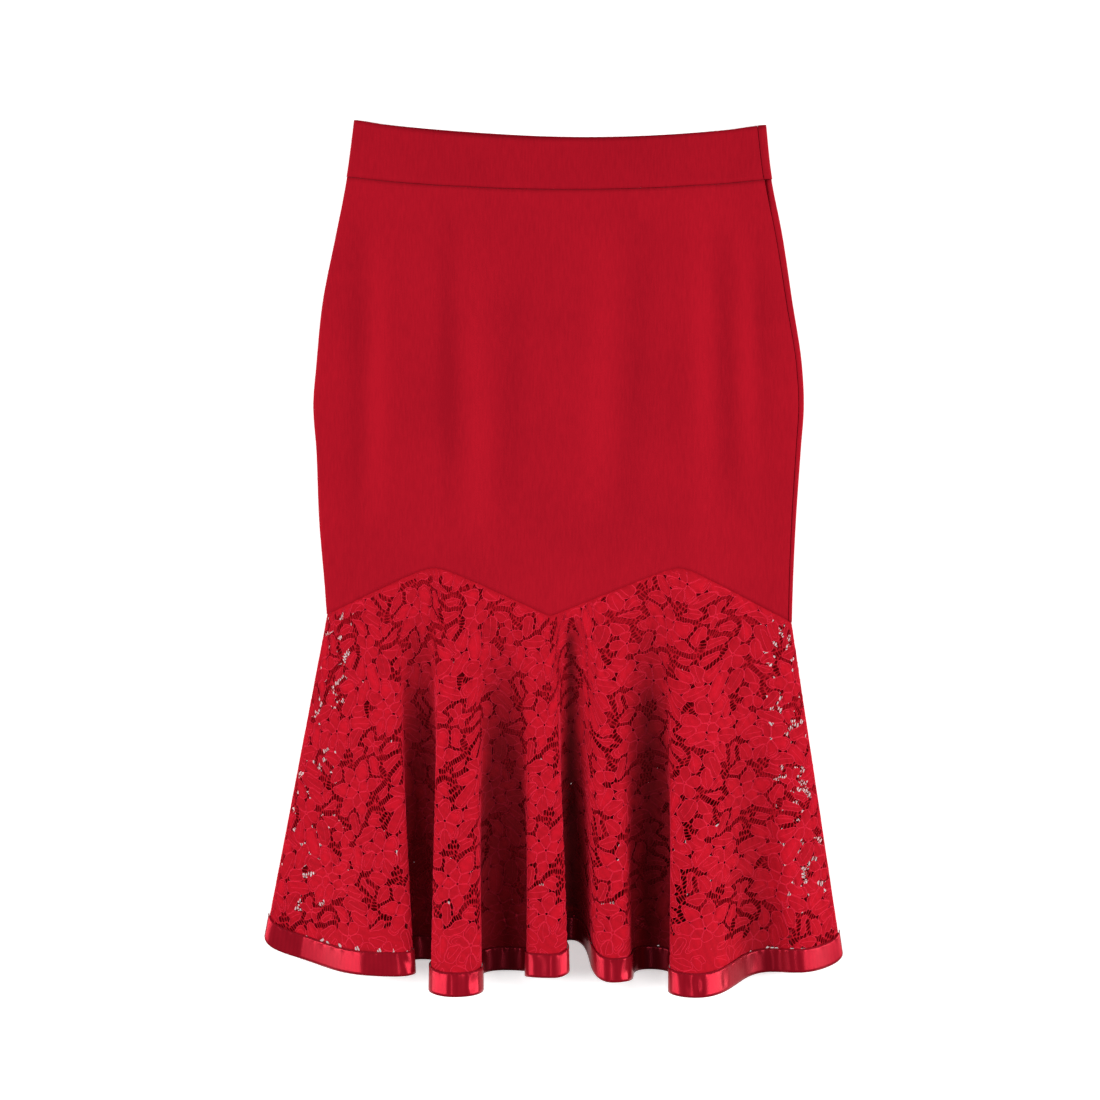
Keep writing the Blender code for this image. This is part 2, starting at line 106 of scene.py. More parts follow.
# x on the seam, hem x, hem y, hem z, puff of the flank before it
frontFolds = [
    (-0.1918, -0.2438, -0.3245, hemFrontRest, 0),
    (-0.1475, -0.1305, -0.3525, 0.038, 0.3),
    (-0.1177, -0.1109, -0.3440, 0.004, 2.6),
    (-0.0837, -0.0812, -0.3669, 0.052, 2.7),
    (-0.0412, -0.0421, -0.3533, 0.004, 1.5),
    (-0.0072, -0.0004, -0.3533, 0.040, 1.35),
    (0.0140, 0.0149, -0.3278, 0.004, 3.0),
    (0.0395, 0.0489, -0.3575, 0.038, 0.6),
    (0.0778, 0.0820, -0.3524, 0.004, 0.9),
    (0.1160, 0.1177, -0.3675, 0.052, 1.75),
    (0.1670, 0.1840, -0.3533, 0.012, 0.2),
    (0.1823, 0.2070, -0.3525, 0.020, 0.3),
    (0.2019, 0.2438, -0.3389, hemFrontRest, 0),
]
# x on the seam, hem x, half width, rise of the back's narrower waves
backWaves = [
    (-0.146, -0.155, 0.024, 0.018),
    (-0.080, -0.076, 0.012, 0.026),
    (-0.007, -0.012, 0.009, 0.014),
    (0.042, 0.046, 0.013, 0.020),
    (0.119, 0.123, 0.017, 0.032),
    (0.170, 0.190, 0.022, 0.008),
]
backHem = {"puff": 0.8, "rootShare": 0.6, "rise": 0.0103}


def curveThrough(knots, values, at):
    slopes = np.gradient(values, knots)
    i = np.clip(np.searchsorted(knots, at) - 1, 0, len(knots) - 2)
    span = knots[i + 1] - knots[i]
    t = (at - knots[i]) / span
    ends = values[i] * (1 + 2 * t) * (1 - t) ** 2 + values[i + 1] * (3 - 2 * t) * t**2
    return ends + span * (slopes[i] * t * (1 - t) ** 2 - slopes[i + 1] * (1 - t) * t**2)


def leftEdge(height):
    return curveThrough(outlineRows[:, 0], outlineRows[:, 1], height)


def rightEdge(height):
    return curveThrough(outlineRows[:, 0], outlineRows[:, 2], height)


def lineHeight(line, x):
    left, right, sag = line
    start = leftEdge(left)
    share = (x - start) / (rightEdge(right) - start)
    return left + (right - left) * share - sag * 4 * share * (1 - share)


def seamHeight(x):
    height = np.interp(x, seamCorners[:, 0], seamCorners[:, 1])
    for before, here, after in zip(seamCorners, seamCorners[1:], seamCorners[2:]):
        rise = (here[1] - before[1]) / (here[0] - before[0])
        fall = (after[1] - here[1]) / (after[0] - here[0])
        away = abs(rise - fall) / 2 * np.abs(x - here[0])
        height = height - np.sign(rise - fall) * (np.sqrt(away**2 + here[2] ** 2) - away)
    return height


def sideRoll(x, left, right):
    reach = np.clip(np.minimum(x - left, right - x) / skirtForm["rollWidth"], 0, 1)
    return skirtForm["rollRise"] * np.sin(pi * np.sqrt(reach))


def fading(distance, length):
    return (1 + np.cos(pi * np.clip(distance / length, 0, 1))) / 2


def frontLevel(x, y):
    level = frontRest + sideRoll(x, leftEdge(y), rightEdge(y))
    nearBand = fading(lineHeight(waistSeamLine, x) - y, skirtForm["bandFade"])
    level = level + (bandFrontRest - frontRest) * nearBand
    for middle, width, rise in frontRidges:
        level = level + rise * np.exp(-(((x - middle) / width) ** 2))
    return level


def bandFrontLevel(x, y):
    return bandFrontRest + sideRoll(x, leftEdge(y), rightEdge(y))


def turnRun(y):
    ends = (skirtForm["turnRunAtSeam"], skirtForm["turnRunAtWaist"])
    return np.interp(y, outlineRows[[0, -1], 0], ends)


def seamColumns(count):
    share = (1 - np.cos(np.linspace(0, pi, count + 1))) / 2
    corners = seamCorners[:, 0]
    stretches = [a + (b - a) * share[:-1] for a, b in zip(corners, corners[1:])]
    return np.concatenate([*stretches, corners[-1:]])


def panelPatch(top, bottom, columns, left, right, rows):
    shares = (columns - columns[0]) / (columns[-1] - columns[0])
    start = left(bottom(columns[0]))
    lowerX = start + (right(bottom(columns[-1])) - start) * shares
    start = left(top(left(waistSeamLine[0])))
    upperX = start + (right(top(right(waistSeamLine[1]))) - start) * shares
    lower = np.stack([lowerX, bottom(lowerX)], axis=-1)
    upper = np.stack([upperX, top(upperX)], axis=-1)
    down = np.linspace(0, 1, rows)
    leftY = upper[0, 1] + (lower[0, 1] - upper[0, 1]) * down
    rightY = upper[-1, 1] + (lower[-1, 1] - upper[-1, 1]) * down
    leftSide = np.stack([left(leftY), leftY], axis=-1)
    rightSide = np.stack([right(rightY), rightY], axis=-1)
    u = shares[None, :, None]
    v = down[:, None, None]
    across = leftSide[:, None] * (1 - u) + rightSide[:, None] * u
    along = upper[None] * (1 - v) + lower[None] * v
    corners = (upper[0] * (1 - u) + upper[-1] * u) * (1 - v) + (lower[0] * (1 - u) + lower[-1] * u) * v
    return across + along - corners


def frontPanel(top, bottom, columns, level, turnRadius, rows):
    def right(y):
        return rightEdge(y) - turnRadius - turnRun(y) - 2 * skirtForm["gap"]

    plan = panelPatch(top, bottom, columns, leftEdge, right, rows)
    return np.concatenate([plan, level(plan[..., 0], plan[..., 1])[..., None]], axis=-1)


def backPanel(top, bottom, columns, rest, turnRadius, rows, turnSteps=8):
    def right(y):
        return rightEdge(y) - turnRadius

    plan = panelPatch(top, bottom, columns, leftEdge, right, rows)
    flat = np.concatenate([plan, np.full_like(plan[..., :1], rest)], axis=-1)
    edgeX, edgeY = flat[:, -1:, 0], flat[:, -1:, 1]
    turn = np.linspace(0, pi, turnSteps + 1)[None, 1:]
    inward = turnRun(edgeY)
    x = edgeX + np.concatenate([turnRadius * np.sin(turn) + 0 * inward, -inward], axis=1)
    up = turnRadius * (1 - np.cos(turn))
    z = rest + np.concatenate([up, up[:, -1:]], axis=1) + 0 * x
    down = np.linspace(0, 1, rows)[:, None]
    y = edgeY + (top(x) - top(edgeX)) * (1 - down) + (bottom(x) - bottom(edgeX)) * down
    return np.concatenate([flat, np.stack([x, y, z], axis=-1)], axis=1)


class Flounce:  # lace ruled straight from the flounce seam to a folded hem
    def __init__(self, folds, seamLevel, side):
        self.folds = np.array(folds)
        self.seamLevel = seamLevel
        self.side = side  # 1 where the lace's right side faces up, -1 where it faces down
        self.steps = np.linspace(0, len(folds) - 1, skirtForm["foldSteps"] * (len(folds) - 1) + 1)
        hem = self.hem(self.steps)
        run = np.linalg.norm(np.diff(hem, axis=0), axis=1)
        run = np.concatenate([[0], np.cumsum(run)])
        self.hemLength = run[-1]
        self.shares = run / run[-1]
        seam = self.seam(self.steps)
        self.drops = np.linalg.norm(hem - seam, axis=1)
        seamRun = np.linalg.norm(np.diff(seam, axis=0), axis=1).sum()
        self.angle = (self.hemLength - seamRun) / self.drops.mean()
        self.radius = self.hemLength / self.angle

    def between(self, steps, column, share):
        i = np.clip(steps.astype(int), 0, len(self.folds) - 2)
        return self.folds[i, column] * (1 - share) + self.folds[i + 1, column] * share

    def hem(self, steps):
        i = np.clip(steps.astype(int), 0, len(self.folds) - 2)
        t = steps - i
        puff = self.folds[i + 1, 4] * np.sin(2 * pi * t) / (2 * pi)
        wave = (1 - np.cos(pi * t)) / 2
        x = self.between(steps, 1, t + puff)
        z = self.between(steps, 3, wave)
        fall = wave
        if self.side > 0:
            z = z + sideRoll(x, self.folds[0, 1], self.folds[-1, 1])
            fall = np.where(i == 0, np.sin(pi * t / 2) ** skirtForm["hemEndCurve"], fall)
            last = i == len(self.folds) - 2
            fall = np.where(last, 1 - np.cos(pi * t / 2) ** skirtForm["hemEndCurve"], fall)
        return np.stack([x, self.between(steps, 2, fall), z], axis=-1)

    def seam(self, steps):
        t = steps - np.clip(steps.astype(int), 0, len(self.folds) - 2)
        x = self.between(steps, 0, t)
        y = seamHeight(x)
        return np.stack([x, y, self.seamLevel(x, y)], axis=-1)

    def at(self, across, down):
        steps = np.interp(across, self.shares, self.steps)
        seam = self.seam(steps)
        hem = self.hem(steps)
        down = np.asarray(down)[..., None]
        point = seam * (1 - down) + hem * down
        grown = np.maximum(down, 0) ** skirtForm["foldGrowth"]
        point[..., 2] = (seam * (1 - grown) + hem * grown)[..., 2]
        return point

    def outward(self, across, down):  # unit normal on the cloth's right side
        nudge = 4e-4
        low, high = np.clip(across - nudge, 0, 1), np.clip(across + nudge, 0, 1)
        sideways = self.at(high, down) - self.at(low, down)
        upward = self.at(across, down - nudge) - self.at(across, down + nudge)
        normal = np.cross(sideways, upward)
        return self.side * normal / np.linalg.norm(normal, axis=-1, keepdims=True)

    def drop(self, across):
        return np.interp(across, self.shares, self.drops)

    def aboveHem(self, across, distance):
        return 1 - distance / self.drop(across)

    def flat(self, across, down):
        turn = (across - 0.5) * self.angle
        reach = self.radius - (1 - down) * self.drop(across)
        return np.stack([reach * np.sin(turn), -reach * np.cos(turn)], axis=-1)

    def unflat(self, point):
        across = np.arctan2(point[..., 0], -point[..., 1]) / self.angle + 0.5
        reach = np.hypot(point[..., 0], point[..., 1])
        return across, 1 - (self.radius - reach) / self.drop(across)

    def columns(self, spacing):
        ends = np.interp(np.arange(len(self.folds)), self.steps, self.shares)
        counts = np.maximum(np.round(np.diff(ends) * self.hemLength / spacing), 1).astype(int)
        runs = [np.linspace(a, b, n, endpoint=False) for a, b, n in zip(ends, ends[1:], counts)]
        roll = np.array([0.0008, 0.0020, 0.0040]) / self.hemLength  # more columns where its sides roll
        return np.sort(np.concatenate([*runs, roll, 1 - roll, [1]]))


def backFolds():
    first, last = frontFolds[0], frontFolds[-1]
    points = [(first[0], first[1], 0, 0)]
    for root, x, half, rise in backWaves:
        rootHalf = half * backHem["rootShare"]
        points.append((root - rootHalf, x - half, 0, 0))
        points.append((root, x, rise, backHem["puff"]))
        points.append((root + rootHalf, x + half, 0, backHem["puff"]))
    points.append((last[0], last[1], 0, 0))
    folds = []
    for root, x, rise, puff in points:
        share = (x - first[1]) / (last[1] - first[1])
        y = first[2] + (last[2] - first[2]) * share + backHem["rise"] * 4 * share * (1 - share)
        folds.append((root, x, y, hemBackRest + rise, puff))
    return folds


flounceFront = Flounce(frontFolds, frontLevel, 1)
flounceBack = Flounce(backFolds(), lambda x, y: np.full_like(x, backRest), -1)


def hexColour(text):  # sRGB hex to the linear colour that a shader takes
    srgb = np.array([int(text[i : i + 2], 16) / 255 for i in (1, 3, 5)])
    linear = np.where(srgb <= 0.04045, srgb / 12.92, ((srgb + 0.055) / 1.055) ** 2.4)
    return (*linear, 1)


def addNode(tree, kind, inputs=None, **settings):
    node = tree.nodes.new(kind)
    for name, value in settings.items():
        setattr(node, name, value)
    for name, value in (inputs or {}).items():
        if isinstance(value, bpy.types.NodeSocket):
            tree.links.new(value, node.inputs[name])
        else:
            node.inputs[name].default_value = value
    return node


def newObject(name, data):
    made = bpy.data.objects.new(name, data)
    bpy.context.scene.collection.objects.link(made)
    return made


def placeTree(places):  # finds the nearest of some places, as seen from above
    tree = kdtree.KDTree(len(places))
    for i, (x, y) in enumerate(places):
        tree.insert((x, y, 0), i)
    tree.balance()
    return tree


def makePiece(name, points, faces, materials, smooth=True):
    mesh = bpy.data.meshes.new(name)
    mesh.from_pydata(np.asarray(points).reshape(-1, 3).tolist(), [], np.asarray(faces).tolist())
    mesh.update()
    if smooth:
        mesh.shade_smooth()
    for material in materials:
        mesh.materials.append(material)
    return newObject(name, mesh)


def makeWire(name, points, edges):  # bare points and edges, for Geometry Nodes to work on
    mesh = bpy.data.meshes.new(name)
    mesh.from_pydata(points, edges, [])
    return newObject(name, mesh)


def gridFaces(rows, columns):
    corner = np.arange((rows - 1) * columns).reshape(rows - 1, columns)[:, :-1].ravel()
    return np.stack([corner, corner + columns, corner + columns + 1, corner + 1], axis=1)


def thicken(piece, wall):
    solidify = piece.modifiers.new("wall", "SOLIDIFY")
    solidify.thickness = wall
    solidify.offset = 0


def storeFlat(mesh, flat):  # the cloth's flat cut as a UV map, in metres
    places = np.zeros(len(mesh.loops), int)
    mesh.loops.foreach_get("vertex_index", places)
    layer = mesh.uv_layers.new(name="flatCut")
    layer.data.foreach_set("uv", np.asarray(flat, float).reshape(-1, 2)[places].ravel())


def storeValue(mesh, name, values):
    layer = mesh.attributes.new(name, "FLOAT", "POINT")
    layer.data.foreach_set("value", np.asarray(values, np.float32).ravel())


def setInputs(modifier, values):  # named inputs of a Geometry Nodes modifier, by socket identifier
    for item in modifier.node_group.interface.items_tree:
        if item.item_type == "SOCKET" and item.in_out == "INPUT" and item.name in values:
            modifier[item.identifier] = values[item.name]


def newTree(name, sockets):  # a Geometry Nodes tree, and what its named inputs give
    tree = bpy.data.node_groups.new(name, "GeometryNodeTree")
    for socket, kind in {"Geometry": "Geometry", **sockets, "Material": "Material"}.items():
        tree.interface.new_socket(name=socket, in_out="INPUT", socket_type="NodeSocket" + kind)
    tree.interface.new_socket(name="Geometry", in_out="OUTPUT", socket_type="NodeSocketGeometry")
    return tree, addNode(tree, "NodeGroupInput").outputs


def endTree(tree, geometry, given):  # whole geometry in its material
    whole = addNode(tree, "GeometryNodeRealizeInstances", {"Geometry": geometry}).outputs["Geometry"]
    dressed = addNode(tree, "GeometryNodeSetMaterial", {"Geometry": whole, "Material": given["Material"]})
    addNode(tree, "NodeGroupOutput", {"Geometry": dressed.outputs["Geometry"]})
    return tree


def bakeNodes(source, tree, values, name):  # the tree's result as a plain mesh object
    modifier = source.modifiers.new("nodes", "NODES")
    modifier.node_group = tree
    setInputs(modifier, values)
    evaluated = source.evaluated_get(bpy.context.evaluated_depsgraph_get())
    mesh = bpy.data.meshes.new_from_object(evaluated)
    mesh.name = name
    source.modifiers.remove(modifier)
    return newObject(name, mesh)


def drop(*objects):
    for each in objects:
        bpy.data.objects.remove(each, do_unlink=True)


def finishPiece(piece, slot, *nodes):
    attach(piece, "root")
    if nodes:
        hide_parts(*nodes)
    print("made", piece.name, len(piece.data.vertices), "points")
    return piece


# Weave scales come from real sizes: 1 / spacing in metres, as the patterns read metres.

knitLook = {
    "deep": "#960A1C",
    "light": "#AE1022",
    "fuzzSpacing": 0.0011,
    "waleSpacing": 0.0013,
    "cloudSpacing": 0.0909,
}
laceLook = {"deep": "#860816", "light": "#CC1026", "weaveSpacing": 0.00622, "fuzzSpacing": 0.001429}
cordLook = {"deep": "#C4142C", "light": "#E22C46", "twistSpacing": 0.0012}
satinLook = {"deep": "#800B1A", "light": "#9C1223", "ribSpacing": 0.00377, "cloudSpacing": 0.01667}
threadLook = {"deep": "#6A0A17", "light": "#8C1224", "fuzzSpacing": 0.000667}
paperLook = {"deep": "#F6F6F6", "light": "#FAFAFA", "grainSpacing": 0.0025}


def newMaterial(name, settings):
    made = bpy.data.materials.new(name)
    made.use_nodes = True
    tree = made.node_tree
    shader = tree.nodes["Principled BSDF"]
    for socket, value in settings.items():
        shader.inputs[socket].default_value = value
    return made, tree, shader


def noise(tree, place, spacing, detail):
    wanted = {"Vector": place, "Scale": 1 / spacing, "Detail": detail}
    return addNode(tree, "ShaderNodeTexNoise", wanted).outputs["Fac"]


def bands(tree, place, spacing, direction, distortion, detail, detailScale=1.0):
    # A wave texture at scale 1 turns by 20 a metre along an axis, and by 14.1 a metre across a diagonal
    turn = 20 if direction == "X" else 10 * 2**0.5
    wanted = {"Vector": place, "Scale": 2 * pi / turn / spacing, "Distortion": distortion, "Detail": detail,
              "Detail Scale": detailScale}
    return addNode(tree, "ShaderNodeTexWave", wanted, bands_direction=direction).outputs["Fac"]


def scaledSum(tree, value, share, other):  # value times share, plus other
    wanted = {0: value, 1: share, 2: other}
    return addNode(tree, "ShaderNodeMath", wanted, operation="MULTIPLY_ADD").outputs[0]


def attribute(tree, name):
    return addNode(tree, "ShaderNodeAttribute", attribute_name=name).outputs["Fac"]


def objectPlace(tree):
    return addNode(tree, "ShaderNodeTexCoord").outputs["Object"]


def flatPlace(tree):
    return addNode(tree, "ShaderNodeUVMap", uv_map="flatCut").outputs["UV"]


def colourBetween(tree, factor, look):
    ramp = addNode(tree, "ShaderNodeValToRGB", {"Fac": factor})
    ramp.color_ramp.elements[0].color = hexColour(look["deep"])
    ramp.color_ramp.elements[1].color = hexColour(look["light"])
    return ramp.outputs["Color"]


def inHollows(tree, colour):  # the colour darkened by painted shade in the folds' hollows
    wanted = {0: colour, "Scale": attribute(tree, "foldShade")}
    return addNode(tree, "ShaderNodeVectorMath", wanted, operation="SCALE").outputs[0]


def addBump(tree, shader, height, strength, distance):
    bump = addNode(tree, "ShaderNodeBump", {"Height": height, "Strength": strength, "Distance": distance})
    tree.links.new(bump.outputs["Normal"], shader.inputs["Normal"])


def makeKnit():
    # Double knit jersey, piece dyed: matte, a faint bloom at grazing light, fine wales running down
    look = knitLook
    made, tree, shader = newMaterial("double knit jersey", {
        "Roughness": 0.9, "Sheen Weight": 0.06, "Sheen Roughness": 0.5, "Sheen Tint": hexColour("#E03448"),
        "Specular IOR Level": 0.06})
    place = objectPlace(tree)
    # Real wales are 0.6 mm apart; drawn coarser and broken up, so that they don't shimmer
    down = addNode(tree, "ShaderNodeMapping", {"Vector": place, "Scale": (1, 0.12, 1)}).outputs["Vector"]
    wales = noise(tree, down, look["waleSpacing"], 2.0)
    fuzz = noise(tree, place, look["fuzzSpacing"], 3.0)
    tone = scaledSum(tree, fuzz, 0.35, wales)
    tone = scaledSum(tree, noise(tree, place, look["cloudSpacing"], 4.0), 0.9, tone)
    # Painted shade: creases are drawn a little darker, and their ridges a little lighter
    tone = scaledSum(tree, attribute(tree, "creaseRise"), 0.5, tone)
    tone = addNode(tree, "ShaderNodeMath", {0: tone, 1: 0.62}, operation="SUBTRACT").outputs[0]
    tree.links.new(colourBetween(tree, tone, look), shader.inputs["Base Color"])
    addBump(tree, shader, scaledSum(tree, fuzz, 0.8, wales), 0.2, 0.0003)
    return made


def makeLace():
    # Clothwork of corded lace: dense matte cotton-viscose threads, thinner in patches
    look = laceLook
    made, tree, shader = newMaterial("lace clothwork", {
        "Roughness": 0.85, "Sheen Weight": 0.05, "Sheen Tint": hexColour("#E03448"),
        "Specular IOR Level": 0.08})
    flat = flatPlace(tree)
    # Real threads are 0.3 mm apart; drawn as broad broken bands, so that they don't shimmer
    weave = bands(tree, flat, look["weaveSpacing"], "DIAGONAL", 3.0, 2.0, 2.0)
    # each petal's own tone, with painted shade along the petals' edges and over the net
    tone = scaledSum(tree, noise(tree, flat, look["fuzzSpacing"], 2.0), 0.35, attribute(tree, "petalToneAndEdgeShade"))
    tone = scaledSum(tree, weave, 0.12, tone)
    tree.links.new(inHollows(tree, colourBetween(tree, tone, look)), shader.inputs["Base Color"])
    addBump(tree, shader, weave, 0.25, 0.0003)
    return made


def makeCord():
    # Rayon outlining cord: twisted, a little brighter and shinier than the clothwork
    look = cordLook
    made, tree, shader = newMaterial("rayon lace cord", {
        "Roughness": 0.6, "Specular IOR Level": 0.15, "Specular Tint": hexColour("#FF8090")})
    twist = noise(tree, objectPlace(tree), look["twistSpacing"], 1.0)
    tree.links.new(inHollows(tree, colourBetween(tree, twist, look)), shader.inputs["Base Color"])
    return made


def makeSatin():
    # Polyester satin ribbon: dyed floats run along it, so its gloss is red and drawn out across its width
    look = satinLook
    made, tree, shader = newMaterial("satin ribbon", {
        "Roughness": 0.25, "Metallic": 0.18, "Specular IOR Level": 0.75,
        "Specular Tint": hexColour("#FC4A60"), "Anisotropic": 0.55, "Anisotropic Rotation": 0.25})
    flat = flatPlace(tree)
    along = addNode(tree, "ShaderNodeTangent", direction_type="UV_MAP", uv_map="flatCut")
    tree.links.new(along.outputs["Tangent"], shader.inputs["Tangent"])
    # Real floats are 0.2 mm apart; drawn as broad faint ribs, so that they don't shimmer
    ribs = bands(tree, flat, look["ribSpacing"], "X", 1.0, 1.0)
    tone = scaledSum(tree, ribs, 0.2, noise(tree, flat, look["cloudSpacing"], 3.0))
    tree.links.new(inHollows(tree, colourBetween(tree, tone, look)), shader.inputs["Base Color"])
    addBump(tree, shader, ribs, 0.02, 0.0002)
    return made


def makeThread():
    # Spun polyester sewing thread: fuzzy, with little shine, in the cloth's own red but darker
    made, tree, shader = newMaterial("sewing thread", {"Roughness": 0.6, "Specular IOR Level": 0.2})
    fuzz = noise(tree, objectPlace(tree), threadLook["fuzzSpacing"], 1.0)
    tree.links.new(colourBetween(tree, fuzz, threadLook), shader.inputs["Base Color"])
    return made


def makePaper():
    # White matte paper, backed by a weak light as on a light table: shadows on it stay pale
    made, tree, shader = newMaterial("white paper table", {
        "Roughness": 0.9, "Emission Color": (1, 1, 1, 1), "Emission Strength": 0.40})
    grain = noise(tree, objectPlace(tree), paperLook["grainSpacing"], 2.0)
    tree.links.new(colourBetween(tree, grain, paperLook), shader.inputs["Base Color"])
    return made


knit = makeKnit()
lace = makeLace()
cordThread = makeCord()
satin = makeSatin()
sewingThread = makeThread()
print("materials made")

# One repeat is worked out on the flat cut. A petal or leaf grows round a spine until it meets its
# neighbour, and what is left between them is net, whose windows grow the same way.

laceForm = {
    "repeat": np.array([0.120, 0.105]),
    "petalPoints": 24,
    "longestReach": 0.021,
    "touchMargin": 0.00005,
    "channelMargins": (0.0011, 0.0024),
    "channelPairs": (3, 1),  # of so many pairs of neighbours, so many have net between them
    "scallop": 0.05,
    "leafSpine": 0.0070,
    "leafWidth": 0.0082,
    "leafClearance": 0.0090,
    "leafLean": (0.9, 0.8),  # a leaf's turn from the ray of the nearest bloom, and how far it swings
    "leafWaves": (170.0, 95.0),
    "leafTaper": (0.78, 0.34),
    "petalTaper": (0.90, 0.10),
    "reachStep": 0.0002,
    "gapFringe": 0.0045,
    "gapPull": 1.6,
    "gapEdge": 0.0004,
    "netDepth": 0.0007,
    "windowSpacing": 0.0019,
    "windowShape": 0.42,  # width over length
    "barLean": (1.45, 0.62),  # a window's turn from the repeat's x, and how far it swings either way
    "windowPoints": 8,
    "windowReach": 0.0040,
    "windowRoom": 0.0007,
    "windowNear": 0.013,  # windows further apart than this can't touch
    "windowArea": 1.4e-6,
    "barHalf": 0.00021,
    "gapSpacing": 0.0025,
}
# centre x, centre y, ring radius, petals, spine half length, petal half width, first turn in degrees
petalRings = [
    (0.000, 0.0000, 0.0065, 5, 0.0024, 0.0056, 20),
    (0.000, 0.0000, 0.0185, 7, 0.0052, 0.0088, 0),
    (0.060, 0.0525, 0.0060, 4, 0.0022, 0.0054, 52),
    (0.060, 0.0525, 0.0150, 6, 0.0046, 0.0080, 10),
    (0.060, 0.0000, 0.0062, 5, 0.0030, 0.0052, 34),
    (0.000, 0.0525, 0.0085, 5, 0.0042, 0.0066, 8),
    (0.031, 0.0300, 0.0056, 5, 0.0026, 0.0046, 0),
    (0.091, 0.0790, 0.0056, 5, 0.0026, 0.0046, 40),
]
# centre x, centre y, ring radius, length, width, turns in degrees of the largest gaps
gapRings = [
    (0.000, 0.0000, 0.031, 0.0105, 0.0052, (12, 84, 150, 222, 296)),
    (0.060, 0.0525, 0.023, 0.0095, 0.0050, (38, 160, 275)),
    (0.060, 0.0000, 0.010, 0.0090, 0.0048, (165,)),
]


def wrapped(offset):  # offset to the nearest repeat of a place
    return offset - np.round(offset / laceForm["repeat"]) * laceForm["repeat"]


def spineDistance(points, centres, directions, halves):
    away = wrapped(points[..., None, :] - centres)
    along = np.clip((away * directions).sum(-1), -halves, halves)
    return np.linalg.norm(away - along[..., None] * directions, axis=-1)


def repeatGrid(step):  # places all over one repeat
    across, up = np.meshgrid(*(np.arange(0, size, step) for size in laceForm["repeat"]))
    return np.stack([across.ravel(), up.ravel()], axis=-1)


def petalSpines():
    rows = []
    middle, swing = laceForm["leafLean"]
    for x, y, radius, count, half, width, first in petalRings:
        for turn in np.radians(first) + np.arange(count) * 2 * pi / count:
            outward = np.array([np.cos(turn), np.sin(turn)])
            bloom = next(i for i, ring in enumerate(petalRings) if ring[:2] == (x, y))
            rows.append((*(np.array([x, y]) + radius * outward), turn, half, width, bloom))
    places = repeatGrid(0.0012)
    gaps = gapSpines()
    gapRoom = (spineDistance(places, *gaps[:3]) - gaps[3] + laceForm["gapFringe"]).min(-1)
    sites = np.array(rows)
    nearest = np.full(len(places), 1.0)

    def widen(new):
        direction = np.stack([np.cos(new[:, 2]), np.sin(new[:, 2])], axis=-1)
        return np.minimum(nearest, spineDistance(places, new[:, :2], direction, new[:, 3]).min(-1))

    nearest = widen(sites)
    blooms = [np.array(ring[:2]) for ring in petalRings]
    bloom = len(petalRings)
    while True:
        room = np.minimum(nearest, gapRoom * laceForm["gapPull"])
        best = int(room.argmax())
        if room[best] < laceForm["leafClearance"]:
            break
        away = [wrapped(places[best] - centre) for centre in blooms]
        near = min(away, key=np.linalg.norm)
        turn = np.arctan2(near[1], near[0]) + middle + swing * np.sin(places[best] @ laceForm["leafWaves"])
        leaf = (*places[best], turn, laceForm["leafSpine"], laceForm["leafWidth"], bloom)
        sites = np.vstack([sites, leaf])
        nearest = widen(sites[-1:])
        bloom += 1
    return sites


def gapSpines():
    centres, directions, halves, radii = [], [], [], []
    for x, y, radius, length, width, turns in gapRings:
        for turn in np.radians(turns):
            centres.append((x + radius * np.cos(turn), y + radius * np.sin(turn)))
            directions.append((-np.sin(turn), np.cos(turn)))
            halves.append((length - width) / 2)
            radii.append(width / 2)
    return np.array(centres), np.array(directions), np.array(halves), np.array(radii)


def growPetals(sites):
    centres = sites[:, :2]
    directions = np.stack([np.cos(sites[:, 2]), np.sin(sites[:, 2])], axis=-1)
    halves, widths, blooms = sites[:, 3], sites[:, 4], sites[:, 5].astype(int)
    gaps = gapSpines()
    step = laceForm["reachStep"]
    reach = np.arange(2 * step, laceForm["longestReach"], step)
    rays = np.arange(laceForm["petalPoints"]) * 2 * pi / laceForm["petalPoints"]
    petals = []
    for i in range(len(sites)):
        stretched = np.stack([np.cos(rays) * (halves[i] + widths[i]), np.sin(rays) * widths[i]], axis=-1)
        stretched /= np.linalg.norm(stretched, axis=-1, keepdims=True)
        side = np.array([-directions[i][1], directions[i][0]])
        aim = stretched[:, :1] * directions[i] + stretched[:, 1:] * side
        points = centres[i] + aim[:, None] * reach[None, :, None]
        away = spineDistance(points, centres, directions, halves)
        own = away[..., i]
        # The same bloom's petals touch, and so do most leaves; the other neighbours have net between.
        # A pair's own number says which, and how broad the net is.
        pair = np.minimum(blooms[i], blooms) * 7 + np.maximum(blooms[i], blooms) * 3
        outOf, netPairs = laceForm["channelPairs"]
        apart = (blooms != blooms[i]) & (pair % outOf < netPairs)
        margin = np.interp(pair * 13 % 7, (0, 6), laceForm["channelMargins"])
        margin = np.where(apart, margin, laceForm["touchMargin"])
        slack = away - own[..., None] - 2 * margin
        slack[..., i] = 1
        leaf = blooms[i] >= len(petalRings)
        narrow, swell = laceForm["leafTaper" if leaf else "petalTaper"]
        broad = widths[i] * (narrow + swell * np.cos(rays) ** (4 if leaf else 1))
        gapRoom = (spineDistance(points, *gaps[:3]) - gaps[3] - laceForm["gapEdge"]).min(-1)
        allowed = (slack.min(-1) >= 0) & (own <= broad[:, None]) & (gapRoom >= 0)
        last = np.where(allowed.all(1), len(reach) - 1, np.argmin(allowed, axis=1) - 1)
        radii = reach[np.maximum(last, 0)]
        for _ in range(2):
            radii = np.minimum(radii, (np.roll(radii, 1) + 2 * radii + np.roll(radii, -1)) / 4 + step)
        lobes = 3 if leaf else 5
        radii = radii * (1 - laceForm["scallop"] * (1 - np.cos(lobes * rays + 1.7 * i)) / 2)
        petals.append(centres[i] + aim * radii[:, None])
    return np.array(petals)


